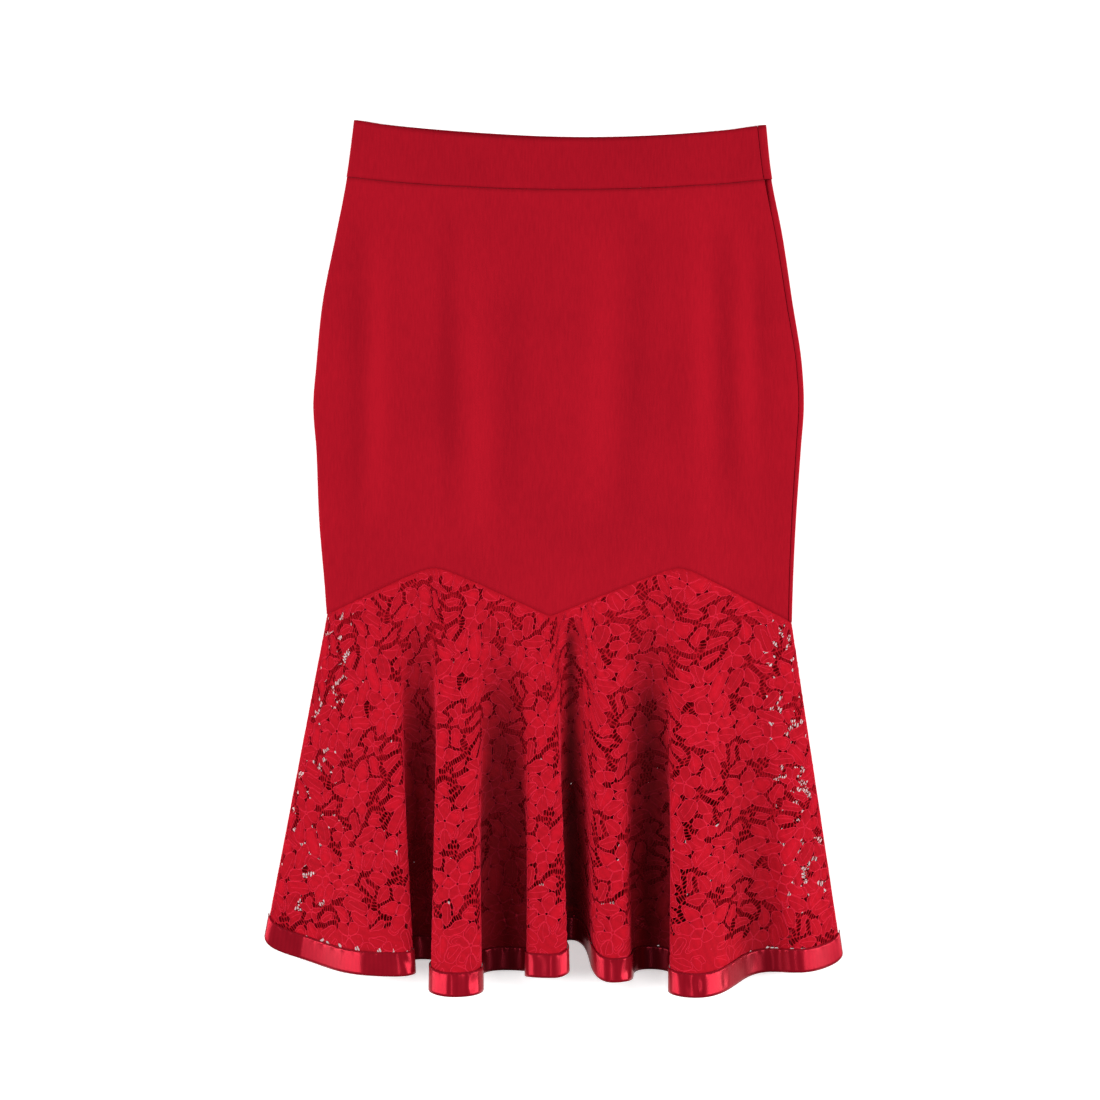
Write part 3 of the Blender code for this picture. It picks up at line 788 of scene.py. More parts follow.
def outlineTree(petals):
    ends = np.roll(petals, -1, axis=1)
    shares = np.array([0, 1 / 3, 2 / 3])[:, None, None, None]
    points = petals + (ends - petals) * shares
    run = ends - petals
    normals = np.stack([run[..., 1], -run[..., 0]], axis=-1)
    normals = np.broadcast_to(normals / np.linalg.norm(normals, axis=-1, keepdims=True), points.shape)
    owners = np.broadcast_to(np.arange(len(petals))[:, None], points.shape[:-1])
    size = laceForm["repeat"]
    border = 0.012  # how far past the repeat its neighbours count
    rows = []
    for shift in [(a, b) for a in (-1, 0, 1) for b in (-1, 0, 1)]:
        moved = points + size * shift
        near = ((moved > -border) & (moved < size + border)).all(-1)
        rows.append((moved[near], normals[near], owners[near]))
    points, normals, owners = (np.concatenate(part) for part in zip(*rows))
    return placeTree(points), points, normals, owners


def outlineDistance(places, tree, points, normals, owners):
    # Signed distance to the nearest petal outline, above 0 in the net, and whose outline it is
    near = np.array([tree.find((x, y, 0))[1] for x, y in places])
    offset = places - points[near]
    side = np.sign((offset * normals[near]).sum(-1))
    return np.linalg.norm(offset, axis=-1) * side, owners[near]


def windowDistance(offset, axes):  # distance from a window's middle, shortened along its long axis
    along = (offset * axes).sum(-1)
    return np.sqrt((offset**2).sum(-1) - along**2 * (1 - laceForm["windowShape"] ** 2))


def barDirection(places):  # the bars lie side by side, leaning one way here and another there
    turns = places / laceForm["repeat"] * 2 * pi
    middle, swing = laceForm["barLean"]
    lean = middle + swing * np.sin(turns[..., 0] + 1.3 * np.sin(turns[..., 1])) * np.cos(turns[..., 1] - 0.6)
    return np.stack([np.cos(lean), np.sin(lean)], axis=-1)


def growWindows(outlines):
    size = laceForm["repeat"]
    places = repeatGrid(0.0005)
    distance = outlineDistance(places, *outlines)[0]
    leaning = barDirection(places)
    centres, directions, _, _ = gapSpines()
    steps = np.array([-1.5, -0.5, 0.5, 1.5])[:, None, None] * laceForm["gapSpacing"]
    chosen = (centres + directions * steps).reshape(-1, 2) % size
    axes = np.tile(np.stack([-directions[:, 1], directions[:, 0]], axis=-1), (len(steps), 1))
    order = np.argsort(-distance, kind="stable")
    for i in order[distance[order] > laceForm["netDepth"]]:
        offset = wrapped(chosen - places[i])
        room = np.minimum(windowDistance(offset, axes), windowDistance(offset, leaning[i]))
        if (room > laceForm["windowSpacing"]).all():
            chosen = np.vstack([chosen, places[i]])
            axes = np.vstack([axes, leaning[i]])
    step = 0.0001
    reach = np.arange(step, laceForm["windowReach"], step)
    rays = (np.arange(laceForm["windowPoints"]) + 0.5) * 2 * pi / laceForm["windowPoints"]
    windows = []
    for centre, axis in zip(chosen, axes):
        aim = np.cos(rays)[:, None] * axis * 1.5 + np.sin(rays)[:, None] * np.array([-axis[1], axis[0]])
        aim /= np.linalg.norm(aim, axis=-1, keepdims=True)
        points = centre + aim[:, None] * reach[None, :, None]
        nearby = (np.abs(wrapped(chosen - centre)) < laceForm["windowNear"]).all(-1)
        away = windowDistance(wrapped(points[..., None, :] - chosen[nearby]), axes[nearby])
        own = windowDistance(points - centre, axis)[..., None]
        other = (np.abs(chosen[nearby] - centre) > 0).any(-1)
        allowed = (away[..., other] - own - 2 * laceForm["barHalf"]).min(-1) >= 0
        count = np.where(allowed.all(1), len(reach), np.argmin(allowed, axis=1))
        radii = np.full(len(aim), 2.5 * step)
        for ray, most in enumerate(count):
            if most:
                clear = outlineDistance(points[ray, :most] % size, *outlines)[0] > step
                last = most if clear.all() else int(np.argmin(clear))
                radii[ray] = reach[last - 1] if last else radii[ray]
        polygon = centre + aim * radii[:, None]
        ends = np.roll(polygon, -1, axis=0)
        area = (polygon[:, 0] * ends[:, 1] - ends[:, 0] * polygon[:, 1]).sum() / 2
        if area > laceForm["windowArea"]:
            windows.append(polygon)
    return np.array(windows)


sites = petalSpines()
petals = growPetals(sites)
outlines = outlineTree(petals)
windows = growWindows(outlines)
print("lace repeat:", len(petals), "petals,", len(windows), "windows")


def repeatPlaces(flounce):  # where the repeats lie on a flounce's flat cut
    width, height = laceForm["repeat"]
    columns = int(flounce.radius * np.sin(flounce.angle / 2) / width) + 1
    rows = int((flounce.radius * (1 - np.cos(flounce.angle / 2)) + flounce.drops.max()) / height) + 1
    across, up = np.meshgrid(np.arange(-columns, columns + 1), np.arange(rows))
    return np.stack([across.ravel() * width, up.ravel() * height - flounce.radius], axis=-1)


def roomOnCut(flounce, across, down, lowest):  # distance inside the cut's edges
    drop = flounce.drop(across)
    depth = np.minimum(down * drop - skirtForm["gap"], (1 - down) * drop - lowest)
    return np.minimum(depth, np.minimum(across, 1 - across) * flounce.hemLength)


def foldShade(flounce, across, down):  # painted shade: 1 on the crests, less in the hollows that light doesn't reach
    heights = flounce.folds[:, 3]
    middle = heights[1:-1]
    crests = 1 + np.flatnonzero((middle > heights[:-2]) & (middle > heights[2:]))
    steps = np.interp(across, flounce.shares, flounce.steps)
    depth = np.interp(steps, crests, heights[crests]) - flounce.hem(steps)[..., 2]
    depth = np.where((steps > crests[0]) & (steps < crests[-1]), depth, 0)
    share = np.where(heights[crests] < laceSheet["lowCrest"], laceSheet["lowCrestShare"], 1)
    depth = depth * np.interp(steps, crests, share)
    grown = np.maximum(down, 0) ** laceSheet["hollowGrowth"]
    hollow = np.clip(depth * grown / laceSheet["hollowDepth"], 0, 1)
    shade = 1 - laceSheet["hollowShade"] * (hollow**2 * (3 - 2 * hollow)) ** laceSheet["hollowEdge"]
    for fold, width, darkness, start in laceSheet["slits"][flounce.side]:
        away = (steps - fold) * np.where(steps < fold, 1, laceSheet["slitSkew"])
        line = darkness * np.exp(-((away / width) ** 2))
        line = line * np.clip((down - start) * laceSheet["slitGrowth"], 0, 1)
        shade = shade * (1 - line)
    return shade


stageForm = {
    "photoWidth": 0.935,
    "cameraHeight": 1.9,
    "middle": (-0.0030, 0.0028),
    "sensor": 36.0,
    "tableHalf": 20.0,
    "tableTop": -0.0002,
    "worldLight": 0.16,
}
laceSheet = {
    "columnSpacing": 0.0038,
    "rowSpacing": 0.0055,
    "wall": 0.00040,
    "relief": 0.00018,
    "seamTuck": 0.0014,
    "uneven": 0.00016,
    "unevenWaves": (0.0021, 0.019, 0.0027),
    "unevenFade": 6,
    "petalBevel": 0.003,
    "petalTones": (0.15, 0.62),
    "paintedEdgeShade": 0.30,
    "toneSeed": 4,
    "shadeSpacing": 0.003,
    "shadeRows": 60,
    "hollowDepth": 0.024,
    "hollowEdge": 1.6,
    "lowCrest": 0.03,
    "lowCrestShare": 0.2,  # a low crest shades this much of what a high one does
    # fold, half width in folds, darkness and start down of the painted dark lines in the slits where one fold
    # lies on the next
    "slits": {1: [(6, 0.14, 0.72, 0.03), (8, 0.10, 0.35, 0.25)], -1: []},
    "slitSkew": 0.6,  # a slit's shade reaches further on its right
    "slitGrowth": 14,
    "hollowShade": 0.70,
    "hollowGrowth": 0.72,
    "coverReach": 0.0040,
    "openSide": 0.075,
    "underShade": 0.8,  # how much of a front fold's shade is painted on the back's lace
    "hemMargin": 0.002,
    "pointClearance": 0.5,  # millimetres between a window and the sheet's own points
    "openHemTop": 0.0215,
    "openHem": ((0.00, 0.20), (0.715, 0.735), (0.87, 1.00)),  # where the net stays open down to the ribbon
}
# share across, half width, rise, start and end down the lace, of the softer folds
softFolds = {
    1: [
        (0.060, 0.012, 0.0009, 0.10, 1.20),
        (0.118, 0.006, 0.0006, 0.35, 1.25),
        (0.171, 0.007, 0.0008, 0.05, 0.90),
        (0.300, 0.006, 0.0010, 0.08, 0.85),
        (0.322, 0.005, 0.0013, 0.22, 1.30),
        (0.345, 0.006, 0.0011, 0.30, 1.15),
        (0.446, 0.006, 0.0007, 0.10, 0.80),
        (0.482, 0.005, 0.0014, 0.08, 1.25),
        (0.503, 0.005, 0.0012, 0.28, 1.40),
        (0.524, 0.005, 0.0014, 0.05, 1.15),
        (0.560, 0.008, 0.0008, 0.15, 1.05),
        (0.640, 0.007, 0.0008, 0.05, 0.75),
        (0.668, 0.005, 0.0012, 0.18, 1.25),
        (0.735, 0.009, 0.0009, 0.20, 1.20),
        (0.790, 0.006, 0.0011, 0.12, 1.20),
        (0.812, 0.011, 0.0010, 0.06, 0.95),
        (0.871, 0.007, 0.0006, 0.30, 1.10),
        (0.935, 0.010, 0.0008, 0.12, 1.05),
    ],
    -1: [
        (0.110, 0.010, -0.0007, 0.10, 1.05),
        (0.262, 0.008, -0.0008, 0.25, 1.15),
        (0.405, 0.011, -0.0006, 0.10, 0.90),
        (0.548, 0.007, -0.0007, 0.20, 1.10),
        (0.690, 0.010, -0.0006, 0.08, 0.85),
        (0.840, 0.009, -0.0008, 0.20, 1.05),
    ],
}


def laceBody(flounce, across, down, lift):  # points on the flounce with its softer folds, and lifted off it
    rise = np.zeros(np.broadcast(across, down).shape)
    for middle, width, height, start, end in softFolds[flounce.side]:
        reach = np.sin(pi * np.clip((down - start) / (end - start), 0, 1))
        rise = rise + height * reach * np.exp(-(((across - middle) * flounce.hemLength / width) ** 2))
    x, y = np.moveaxis(flounce.flat(across, down), -1, 0)
    inward = np.clip(np.stack([down, 1 - down]) * laceSheet["unevenFade"], 0, 1)
    inward = np.sin(pi * np.clip(across, 0, 1)) * inward[0] * inward[1]
    short, long, upward = laceSheet["unevenWaves"]
    waves = np.sin(x / short + 2 * np.sin(y / long)) * np.sin(y / upward)
    rise = rise + laceSheet["uneven"] * inward * waves
    return flounce.at(across, down) + flounce.outward(across, down) * (rise + lift)[..., None]


def windowPlaces(flounce):  # share across and down of each window's corners
    cut = (windows[None] + repeatPlaces(flounce)[:, None, None]).reshape(-1, laceForm["windowPoints"], 2)
    across, down = flounce.unflat(cut)
    room = roomOnCut(flounce, across, down, hemLap).min(-1)
    inside = (room > laceForm["windowRoom"]) & (across.min(-1) > 0) & (across.max(-1) < 1)
    return across[inside], down[inside]


def leftOpen(across, down, upper):
    # The back's clothwork lies under most of the front's windows, and leaves them open near the sides
    points = flounceBack.at(across.mean(-1), down.mean(-1))
    away = np.array([upper.find((x, y, 0))[2] for x, y, _ in points])
    return (away > laceSheet["coverReach"]) | (np.abs(across.mean(-1) - 0.5) > 0.5 - laceSheet["openSide"])


def coveredBelow(points):  # whether the camera sees the back's lace behind a place on the front
    first, last = frontFolds[0], frontFolds[-1]
    share = (points[..., 0] - first[1]) / (last[1] - first[1])
    hemBehind = first[2] + (last[2] - first[2]) * share + backHem["rise"] * 4 * share * (1 - share)
    seen = points[..., 1] * (1 + points[..., 2] / stageForm["cameraHeight"])
    return seen > hemBehind + laceSheet["hemMargin"]


def shadeAbove(flounce, points):  # the front's fold shade at the places over a back point
    down = np.linspace(0, 1, laceSheet["shadeRows"])
    across, down = np.meshgrid(flounce.columns(laceSheet["shadeSpacing"]), down)
    tree = placeTree(flounce.at(across, down).reshape(-1, 3)[:, :2])
    shade = foldShade(flounce, across, down).ravel()
    return shade[[tree.find((x, y, 0))[1] for x, y, _ in points]]


def makeLaceSheet(name, flounce, across, down):
    # The clothwork and net as one sheet, with every window cut out
    form = laceSheet
    columns = flounce.columns(form["columnSpacing"])
    rows = int(flounce.drops.mean() / form["rowSpacing"])
    top = -form["seamTuck"] / flounce.drop(columns)  # the seam allowance lies inside the knit's edge
    bottom = flounce.aboveHem(columns, hemLap)
    share = np.linspace(0, 1, rows)[:, None]
    gridDown = top * (1 - share) + bottom * share
    gridAcross = np.broadcast_to(columns, gridDown.shape)
    edges = ((-1, slice(None)), (slice(-2, 0, -1), -1), (0, slice(None, None, -1)), (slice(1, -1), 0))
    border = np.concatenate([np.stack([gridAcross[edge], gridDown[edge]], axis=-1) for edge in edges])
    stretch = np.array([flounce.hemLength, -flounce.drops.mean()]) * 1000  # laid out in millimetres
    middles = np.stack([across.mean(-1), down.mean(-1)], axis=-1) * stretch
    tree = placeTree(middles)
    corners = np.stack([across, down], axis=-1) * stretch
    reach = np.linalg.norm(corners - middles[:, None], axis=-1).max(-1)
    inner = np.stack([gridAcross[1:-1, 1:-1].ravel(), gridDown[1:-1, 1:-1].ravel()], axis=-1) * stretch
    clear = []
    for x, y in inner:
        nearest = tree.find_n((x, y, 0), 3)
        clear.append(all(away > reach[i] + form["pointClearance"] for _, i, away in nearest))
    inner = inner[np.array(clear)]
    points = np.concatenate([border * stretch, corners.reshape(-1, 2), inner])
    ring = list(range(len(border)))
    count = laceForm["windowPoints"]
    holes = np.arange(len(corners) * count).reshape(-1, count) + len(border)
    laid = delaunay_2d_cdt(points.tolist(), [], [ring, *holes.tolist()], 1, 1e-6, True)
    triangles = np.array([face for face, owners in zip(laid[2], laid[5]) if list(owners) == [0]])
    places = np.array([tuple(p) for p in laid[0]]) / stretch
    used, triangles = np.unique(triangles, return_inverse=True)
    triangles = triangles.reshape(-1, 3)
    places = places[used]
    flat = flounce.flat(places[:, 0], places[:, 1])
    distance, owner = outlineDistance((flat + (0, flounce.radius)) % laceForm["repeat"], *outlines)
    depth = np.clip(-distance / form["petalBevel"], 0, 1)
    tones = np.random.default_rng(form["toneSeed"]).uniform(*form["petalTones"], len(petals))
    # painted shade: the net and the petals' edges take one dark tone, the petals' middles keep their own
    # tones
    shade = tones[owner] * depth + form["paintedEdgeShade"] * (1 - depth)
    body = laceBody(flounce, places[:, 0], places[:, 1], depth * form["relief"])
    if flounce.side < 0:
        triangles = triangles[:, ::-1]
    piece = makePiece(name, body, triangles, [lace])
    storeFlat(piece.data, flat + (0.5, flounce.radius))
    storeValue(piece.data, "petalToneAndEdgeShade", shade)
    folded = foldShade(flounce, places[:, 0], places[:, 1])
    if flounce.side < 0:
        folded = folded * (1 - form["underShade"] * (1 - shadeAbove(flounceFront, body)))
    storeValue(piece.data, "foldShade", folded)
    thicken(piece, form["wall"])
    return piece


laceCord = {
    "width": 0.00056,
    "height": 0.00034,
    "lift": 0.00022,
    "hemEnd": 0.001,  # how far the cords run in under the ribbon
    "veinEnds": (0.06, 0.84),
    "veinBend": 0.2,
    "leafLine": 0.62,
    "petalLines": (0.66, 0.74),
    "innerLine": 0.42,
    "ringlet": 0.0015,
}


def makeCordTree():
    # Repeats the cords' paths at each place and gives them a half-round body
    tree, given = newTree("lace cords", {"Paths": "Object", "Cord width": "Float", "Cord height": "Float"})
    paths = addNode(tree, "GeometryNodeObjectInfo", {"Object": given["Paths"]})
    copies = addNode(tree, "GeometryNodeInstanceOnPoints",
                     {"Points": given["Geometry"], "Instance": paths.outputs["Geometry"]})
    real = addNode(tree, "GeometryNodeRealizeInstances", {"Geometry": copies.outputs["Instances"]})
    curves = addNode(tree, "GeometryNodeMeshToCurve", {"Mesh": real.outputs["Geometry"]})
    upright = addNode(tree, "GeometryNodeSetCurveNormal", {"Curve": curves.outputs["Curve"]}, mode="Z_UP")
    bend = {"Resolution": 3, "Radius": 1.0, "Start Angle": pi, "Sweep Angle": pi}
    arc = addNode(tree, "GeometryNodeCurveArc", bend).outputs["Curve"]
    half = addNode(tree, "ShaderNodeMath", {0: given["Cord width"], 1: 0.5}, operation="MULTIPLY").outputs[0]
    scale = addNode(tree, "ShaderNodeCombineXYZ", {"X": half, "Y": given["Cord height"], "Z": 1.0}).outputs[0]
    profile = addNode(tree, "GeometryNodeTransform", {"Geometry": arc, "Scale": scale})
    body = addNode(tree, "GeometryNodeCurveToMesh",
                   {"Curve": upright.outputs["Curve"], "Profile Curve": profile.outputs["Geometry"]})
    return endTree(tree, body.outputs["Mesh"], given)


def cordPaths():  # one repeat's cords: each petal's outline, a vein or an inner line
    points, edges = [], []

    def addPath(path, closed):
        start = len(points)
        points.extend((x, y, 0) for x, y in path)
        last = len(path) if closed else len(path) - 1
        edges.extend((start + k, start + (k + 1) % len(path)) for k in range(last))

    form, count = laceCord, laceForm["petalPoints"]
    for i, petal in enumerate(petals):
        addPath(petal, True)
        middle = petal.mean(0)
        outer = np.roll(petal, count // 4, axis=0)[1 : count // 2]
        if sites[i, 5] >= len(petalRings):  # a leaf, with its vein
            tip, base = petal[0], petal[count // 2]
            side = petal[count // 4] - middle
            steps = np.linspace(*form["veinEnds"], 7)[:, None]
            bend = form["veinBend"] * np.sin(steps * pi) * side * (1 if i % 2 else -1)
            addPath(base + (tip - base) * steps + bend, False)
            if i % 3 == 0:
                addPath(middle + (outer[: count // 4] - middle) * form["leafLine"], False)
        elif sites[i, 3] > 0.003:  # a large petal, with the lines of the one that it lies on
            addPath(middle + (outer - middle) * form["petalLines"][i % 2], False)
            if i % 2:
                addPath(middle + (outer[2:-2] - middle) * form["innerLine"], False)
    turns = np.arange(8) * pi / 4
    ringlet = form["ringlet"] * np.stack([np.cos(turns), np.sin(turns)], axis=-1)
    for middle in {ring[:2] for ring in petalRings}:
        addPath(middle + ringlet, True)
    return makeWire("cord paths", points, edges)


def makeLaceCords(name, flounce, tree, paths):
    form = laceCord
    source = makeWire("repeat places", [(x, y, 0) for x, y in repeatPlaces(flounce)], [])
    values = {"Paths": paths, "Cord width": form["width"], "Cord height": form["height"],
              "Material": cordThread}
    baked = bakeNodes(source, tree, values, name)
    mesh = baked.data
    points = np.zeros(len(mesh.vertices) * 3)
    mesh.vertices.foreach_get("co", points)
    points = points.reshape(-1, 3)
    corners = np.zeros(len(mesh.loops), int)
    mesh.loops.foreach_get("vertex_index", corners)
    faces = corners.reshape(-1, 4)
    across, down = flounce.unflat(points[:, :2])
    room = roomOnCut(flounce, across, down, skirtForm["ribbonWidth"] - form["hemEnd"])
    keep = (room[faces] > 0.0001).all(1) & (np.abs(across[faces] - 0.5) < 0.5).all(1)
    faces = faces[keep]
    used, faces = np.unique(faces, return_inverse=True)
    faces = faces.reshape(-1, 4)
    across, down, lift = across[used], down[used], points[used, 2] + form["lift"]
    body = laceBody(flounce, across, down, lift)
    if flounce.side < 0:
        faces = faces[:, ::-1]
    drop(source, baked)
    piece = makePiece(name, body, faces, [cordThread])
    storeValue(piece.data, "foldShade", foldShade(flounce, across, down))
    return piece


cordTree = makeCordTree()
paths = cordPaths()
frontMiddles = [corners.mean(-1) for corners in windowPlaces(flounceFront)]
upperWindows = placeTree(flounceFront.at(*frontMiddles)[:, :2])


def cutSize(flounce, lowest):  # width, length and area of a flounce's flat cut
    span = 2 * flounce.radius * np.sin(flounce.angle / 2)
    inner = (flounce.radius - flounce.drops.max()) * np.cos(flounce.angle / 2)
    middles = (flounce.drops[1:] + flounce.drops[:-1]) / 2
    width = np.diff(flounce.shares) * flounce.hemLength
    area = (width * (middles - lowest) * (1 - (middles + lowest) / 2 / flounce.radius)).sum()
    return (float(span), float(flounce.radius - inner)), float(area)


for side, flounce, below in (("back", flounceBack, "table"), ("front", flounceFront, "lace_back")):
    across, down = windowPlaces(flounce)
    if side == "back":
        kept = leftOpen(across, down, upperWindows)
    else:  # along most of the hem the net is drawn shut by the seam that holds the ribbon
        middle = across.mean(-1)
        height = (1 - down.mean(-1)) * flounce.drop(middle)
        here = np.any([(middle > start) & (middle < end) for start, end in laceSheet["openHem"]], axis=0)
        covered = coveredBelow(flounce.at(middle, down.mean(-1)))
        kept = covered | (here & (height < laceSheet["openHemTop"]))
    across, down = across[kept], down[kept]
    sheet = makeLaceSheet("lace_" + side, flounce, across, down)
    cords = makeLaceCords("lace_cords_" + side, flounce, cordTree, paths)
    finishPiece(sheet, "lace", "flounce_" + side)
    finishPiece(cords, "lace")
    size, area = cutSize(flounce, hemLap)
drop(paths)
print("lace made")

ribbonForm = {
    "columnSpacing": 0.0015,
    "rows": 10,
    "wall": 0.00045,
    "pucker": 0.0009,
    "puckerSpacing": 0.0065,
    "puckerFade": 10,
    "puckerWaves": 9,
    "waveLengths": (0.6, 2.4),
    "creases": 13,
    "crease": 0.0010,
    "creaseWidth": 0.0030,
    "creaseLean": 0.012,
    "creaseDepths": (0.2, 1.0),
    "stitchInset": 0.0013,
}


def makeRibbon(name, flounce, seed):
    form = ribbonForm
    across = flounce.columns(form["columnSpacing"])
    share = np.linspace(0, 1, form["rows"])[:, None]
    down = flounce.aboveHem(across, skirtForm["ribbonWidth"] * (1 - share))
    across = np.broadcast_to(across, down.shape)
    run = across * flounce.hemLength
    rng = np.random.default_rng(seed)
    pucker = np.zeros_like(run)
    for _ in range(form["puckerWaves"]):
        length = form["puckerSpacing"] * rng.uniform(*form["waveLengths"])
        pucker += np.sin(2 * pi * run / length + rng.uniform(0, 2 * pi)) / form["puckerWaves"]
    pucker *= form["pucker"] * np.exp(-share * form["puckerFade"])
    crease = np.zeros_like(run)
    for _ in range(form["creases"]):
        middle = rng.uniform(0, flounce.hemLength)
        lean = rng.uniform(-form["creaseLean"], form["creaseLean"])
        reach = np.exp(-(((run - middle - lean * share) / form["creaseWidth"]) ** 2))
        # A crease dies away towards both of the ribbon's edges
        crease -= rng.uniform(*form["creaseDepths"]) * reach * np.sin(pi * np.clip(1.1 * share - 0.05, 0, 1))
    body = laceBody(flounce, across, down, lapOut + pucker + crease * form["crease"])
    faces = gridFaces(*down.shape)
    if flounce.side < 0:
        faces = faces[:, ::-1]
    piece = makePiece(name, body, faces, [satin])
    flat = np.stack([run, skirtForm["ribbonWidth"] * (1 - share) + 0 * run], axis=-1)
    storeFlat(piece.data, flat)
    storeValue(piece.data, "foldShade", foldShade(flounce, across, down))
    thicken(piece, form["wall"])
    return piece


ribbons = [("back", flounceBack, 12, "table"), ("front", flounceFront, 11, "lace_back")]
for side, flounce, seed, below in ribbons:
    ribbon = makeRibbon("satin_ribbon_" + side, flounce, seed)
    finishPiece(ribbon, "satin", "ribbon_" + side)
print("ribbon made")

bandPeek = {"middle": -0.070, "width": 0.070, "rise": 0.0010, "shade": 2.2, "rows": 0.0035}
knitForm = {"columns": 20, "rows": 90, "bandRows": 12, "wall": 0.0010, "bandWall": 0.0021, "bandTone": 0.35}
# x at the top, x at the bottom, top height, bottom height, width, rise of soft creases in the front
softCreases = [
    (-0.166, -0.168, 0.31, -0.03, 0.0075, -0.0009),
    (-0.148, -0.150, 0.28, 0.02, 0.0090, 0.0011),
    (-0.092, -0.088, 0.31, 0.01, 0.0080, -0.0011),
    (-0.068, -0.060, 0.26, -0.01, 0.0120, 0.0009),
    (-0.028, -0.044, 0.26, -0.01, 0.0110, -0.0006),
    (0.046, 0.034, 0.29, 0.02, 0.0140, 0.0009),
    (0.078, 0.060, 0.29, 0.00, 0.0110, -0.0007),
    (0.124, 0.128, 0.30, 0.00, 0.0110, 0.0010),
    (0.142, 0.150, 0.30, 0.03, 0.0070, -0.0011),
    (0.160, 0.167, 0.29, 0.04, 0.0080, 0.0010),
    (0.174, 0.180, 0.28, 0.08, 0.0060, -0.0008),
]


def waistTop(x):
    return lineHeight(waistTopLine, x)


def waistTopBack(x):  # the back stands a little above the front, most of all left of the middle
    rise = bandPeek["rise"] * np.exp(-(((x - bandPeek["middle"]) / bandPeek["width"]) ** 2))
    return lineHeight(waistTopBackLine, x) + rise


def bandBottom(x):
    return lineHeight(waistSeamLine, x) + skirtForm["gap"] / 2


def skirtTop(x):
    return lineHeight(waistSeamLine, x) - skirtForm["gap"] / 2


def skirtBottom(x):
    return seamHeight(x) + skirtForm["gap"]


def creaseRise(x, y):
    level = 0 * x
    for upperX, lowerX, upper, lower, width, rise in softCreases:
        share = np.clip((upper - y) / (upper - lower), 0, 1)
        middle = upperX + (lowerX - upperX) * share
        level = level + rise * np.sin(pi * share) * np.exp(-(((x - middle) / width) ** 2))
    return level


def knitFrontLevel(x, y):
    return frontLevel(x, y) + creaseRise(x, y)


def makeKnitPiece(name, grid, wall, node, below):
    rows, columns = grid.shape[:2]
    piece = makePiece(name, grid, gridFaces(rows, columns), [knit])
    # painted shade: darker in the front's creases, lighter on their ridges
    tone = creaseRise(grid[..., 0], grid[..., 1]) * 1000 if node == "skirt_front" else 0 * grid[..., 0]
    tone = tone - (knitForm["bandTone"] if node.startswith("waistband") else 0)
    if node == "waistband_back":  # painted shade: the inside of its top edge is drawn dark, where it lies in the front's shade
        tone = tone - bandPeek["shade"] * (grid[..., 1] > waistTop(grid[..., 0]) - bandPeek["rows"])
    storeValue(piece.data, "creaseRise", tone)
    thicken(piece, wall)
    finishPiece(piece, "knit", node)
    return piece


columns = seamColumns(knitForm["columns"])
turned = (skirtForm["turnRadius"], knitForm["rows"])
bandTurned = (skirtForm["bandTurnRadius"], knitForm["bandRows"])
grids = {
    "skirt_back": backPanel(skirtTop, skirtBottom, columns, backRest, *turned),
    "skirt_front": frontPanel(skirtTop, skirtBottom, columns, knitFrontLevel, *turned),
    "waistband_back": backPanel(waistTopBack, bandBottom, columns, bandBackRest, *bandTurned),
    "waistband_front": frontPanel(waistTop, bandBottom, columns, bandFrontLevel, *bandTurned),
}
# width, length and area of each piece's cut that shows
knitCuts = {
    "skirt_back": (0.421, 0.378, 0.1395),
    "skirt_front": (0.412, 0.376, 0.1359),
    "waistband_back": (0.366, 0.0485, 0.0165),
    "waistband_front": (0.354, 0.0485, 0.0155),
}
for node, grid in grids.items():
    width, length, area = knitCuts[node]
    wall = knitForm["bandWall"] if node.startswith("waistband") else knitForm["wall"]
    below = "table" if node.endswith("back") else "knit_" + node.replace("front", "back")
    makeKnitPiece("knit_" + node, grid, wall, node, below)
print("knit made")

stitchForm = {
    "spacing": 0.0025,
    "length": 0.0020,
    "width": 0.00036,
    "inset": 0.0004,
    "lift": 0.00004,
    "waistEnds": ((0.318, 0.002), (0.316, -0.008)),  # at left and right: height, and step in from the edge
    "waistSteps": 200,
}


def makeStitchTree():
    # A stitch at each step of a path, turned along it
    sockets = {"Spacing": "Float", "Stitch length": "Float", "Thread width": "Float"}
    tree, given = newTree("stitch row", sockets)
    path = addNode(tree, "GeometryNodeMeshToCurve", {"Mesh": given["Geometry"]}).outputs["Curve"]
    spaced = {"Curve": path, "Length": given["Spacing"]}
    steps = addNode(tree, "GeometryNodeResampleCurve", spaced, mode="LENGTH").outputs["Curve"]
    tangent = addNode(tree, "GeometryNodeInputTangent").outputs["Tangent"]
    turn = addNode(tree, "FunctionNodeAlignRotationToVector", {"Vector": tangent}, axis="Z")
    bead = addNode(tree, "GeometryNodeMeshUVSphere", {"Segments": 6, "Rings": 4, "Radius": 0.5})
    width, length = given["Thread width"], given["Stitch length"]
    size = addNode(tree, "ShaderNodeCombineXYZ", {"X": width, "Y": width, "Z": length}).outputs[0]
    wanted = {"Points": steps, "Instance": bead.outputs["Mesh"], "Rotation": turn.outputs["Rotation"]}
    copies = addNode(tree, "GeometryNodeInstanceOnPoints", {**wanted, "Scale": size})
    return endTree(tree, copies.outputs["Instances"], given)


def makeStitches(name, points, tree):
    source = makeWire("stitch path", points.tolist(), [(i, i + 1) for i in range(len(points) - 1)])
    form = stitchForm
    values = {"Spacing": form["spacing"], "Stitch length": form["length"], "Thread width": form["width"],
              "Material": sewingThread}
    piece = bakeNodes(source, tree, values, name)
    drop(source)
    piece.data.shade_smooth()
    return piece


def ribbonStitchPath(flounce):
    across = flounce.columns(ribbonForm["columnSpacing"])
    down = flounce.aboveHem(across, skirtForm["ribbonWidth"] - ribbonForm["stitchInset"])
    lift = lapOut + ribbonForm["wall"] / 2 + stitchForm["lift"]
    return laceBody(flounce, across, down, np.full_like(across, lift))


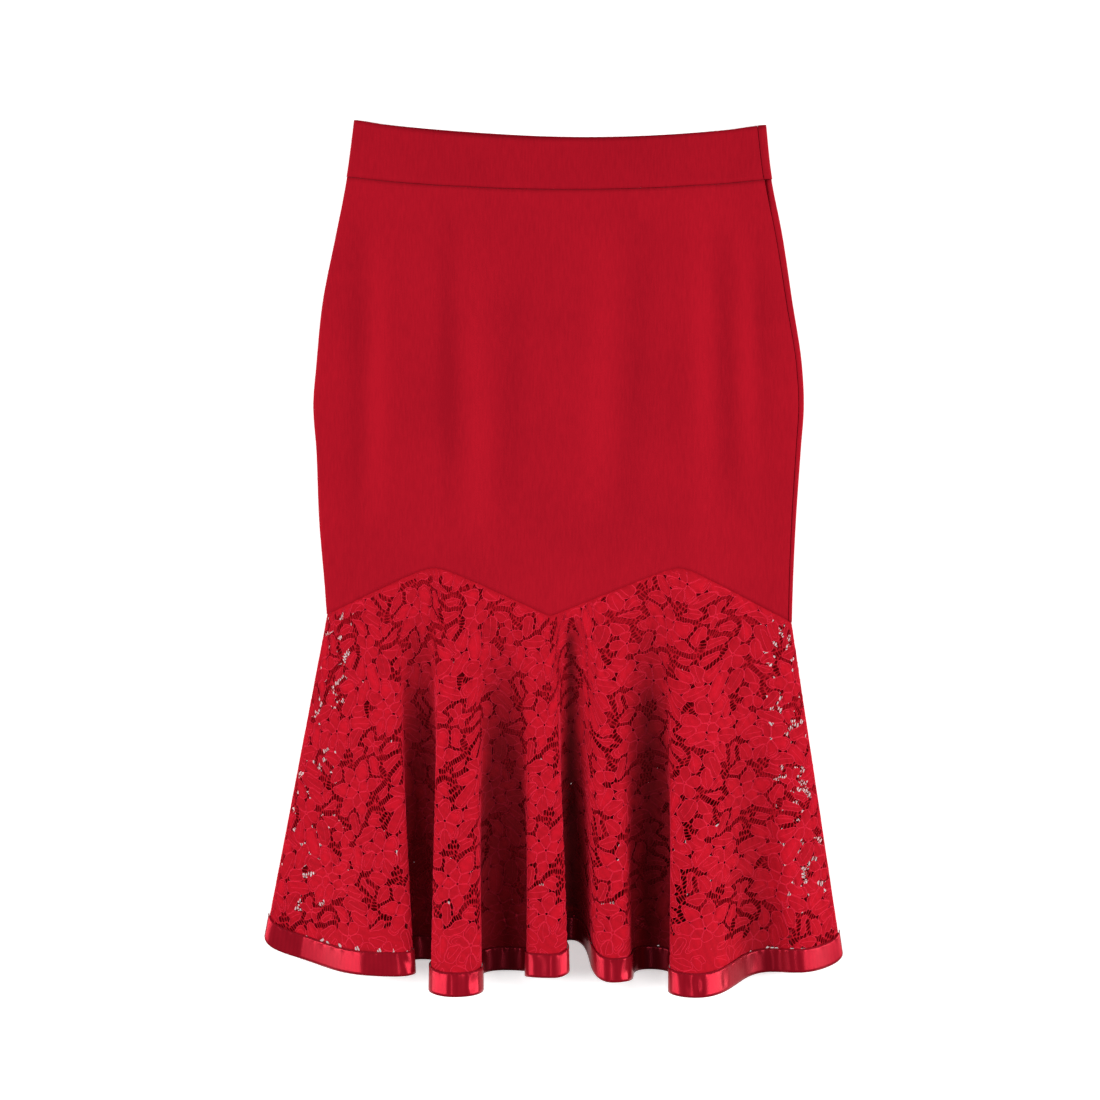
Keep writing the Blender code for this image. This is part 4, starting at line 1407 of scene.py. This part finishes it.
def waistStitchPath(side):
    (leftHeight, leftStep), (rightHeight, rightStep) = stitchForm["waistEnds"]
    left, right = leftEdge(leftHeight) + leftStep, rightEdge(rightHeight) + rightStep
    x = np.linspace(left, right, stitchForm["waistSteps"])
    y = skirtTop(x) - stitchForm["inset"]
    lift = knitForm["wall"] / 2 + stitchForm["lift"]
    z = knitFrontLevel(x, y) + lift if side > 0 else np.full_like(x, backRest - lift)
    return np.stack([x, y, z], axis=-1)


stitchTree = makeStitchTree()
stitchPaths = {
    "ribbon_stitches_front": ribbonStitchPath(flounceFront),
    "ribbon_stitches_back": ribbonStitchPath(flounceBack),
    "waist_stitches_front": waistStitchPath(1),
    "waist_stitches_back": waistStitchPath(-1),
}
for name, points in stitchPaths.items():
    finishPiece(makeStitches(name, points, stitchTree), "satin" if name.startswith("ribbon") else "knit")
print("stitches made")

half = stageForm["tableHalf"]
tableCorners = [(half * x, half * y, stageForm["tableTop"]) for x, y in ((-1, -1), (1, -1), (1, 1), (-1, 1))]
table = makePiece("table", tableCorners, [(0, 1, 2, 3)], [makePaper()], smooth=False)

camera = bpy.data.cameras.new("camera")
camera.sensor_width = stageForm["sensor"]
camera.lens = stageForm["sensor"] * stageForm["cameraHeight"] / stageForm["photoWidth"]
cameraObject = newObject("camera", camera)
cameraObject.location = (*stageForm["middle"], stageForm["cameraHeight"])
bpy.context.scene.camera = cameraObject

# name, place, width, length, power in watts
softLights = [
    ("left softbox", (-2.20, 0.00, 1.35), 0.7, 2.2, 61.0),
    ("right softbox", (2.20, 0.00, 1.35), 0.7, 2.2, 67.0),
    ("overhead strip", (0.0, 0.0, 1.98), 0.05, 1.0, 4.2),
]
for name, place, width, length, power in softLights:
    lamp = bpy.data.lights.new(name, "AREA")
    lamp.shape = "RECTANGLE"
    lamp.size = width
    lamp.size_y = length
    lamp.energy = power
    lampObject = newObject(name, lamp)
    lampObject.location = place
    lampObject.rotation_mode = "QUATERNION"
    lampObject.rotation_quaternion = (-Vector(place)).to_track_quat("-Z", "Y")

world = bpy.data.worlds.new("studio")
world.use_nodes = True
background = world.node_tree.nodes["Background"]
background.inputs["Color"].default_value = (1, 1, 1, 1)
background.inputs["Strength"].default_value = stageForm["worldLight"]
bpy.context.scene.world = world
bpy.context.scene.view_settings.view_transform = "Standard"
print("stage set")
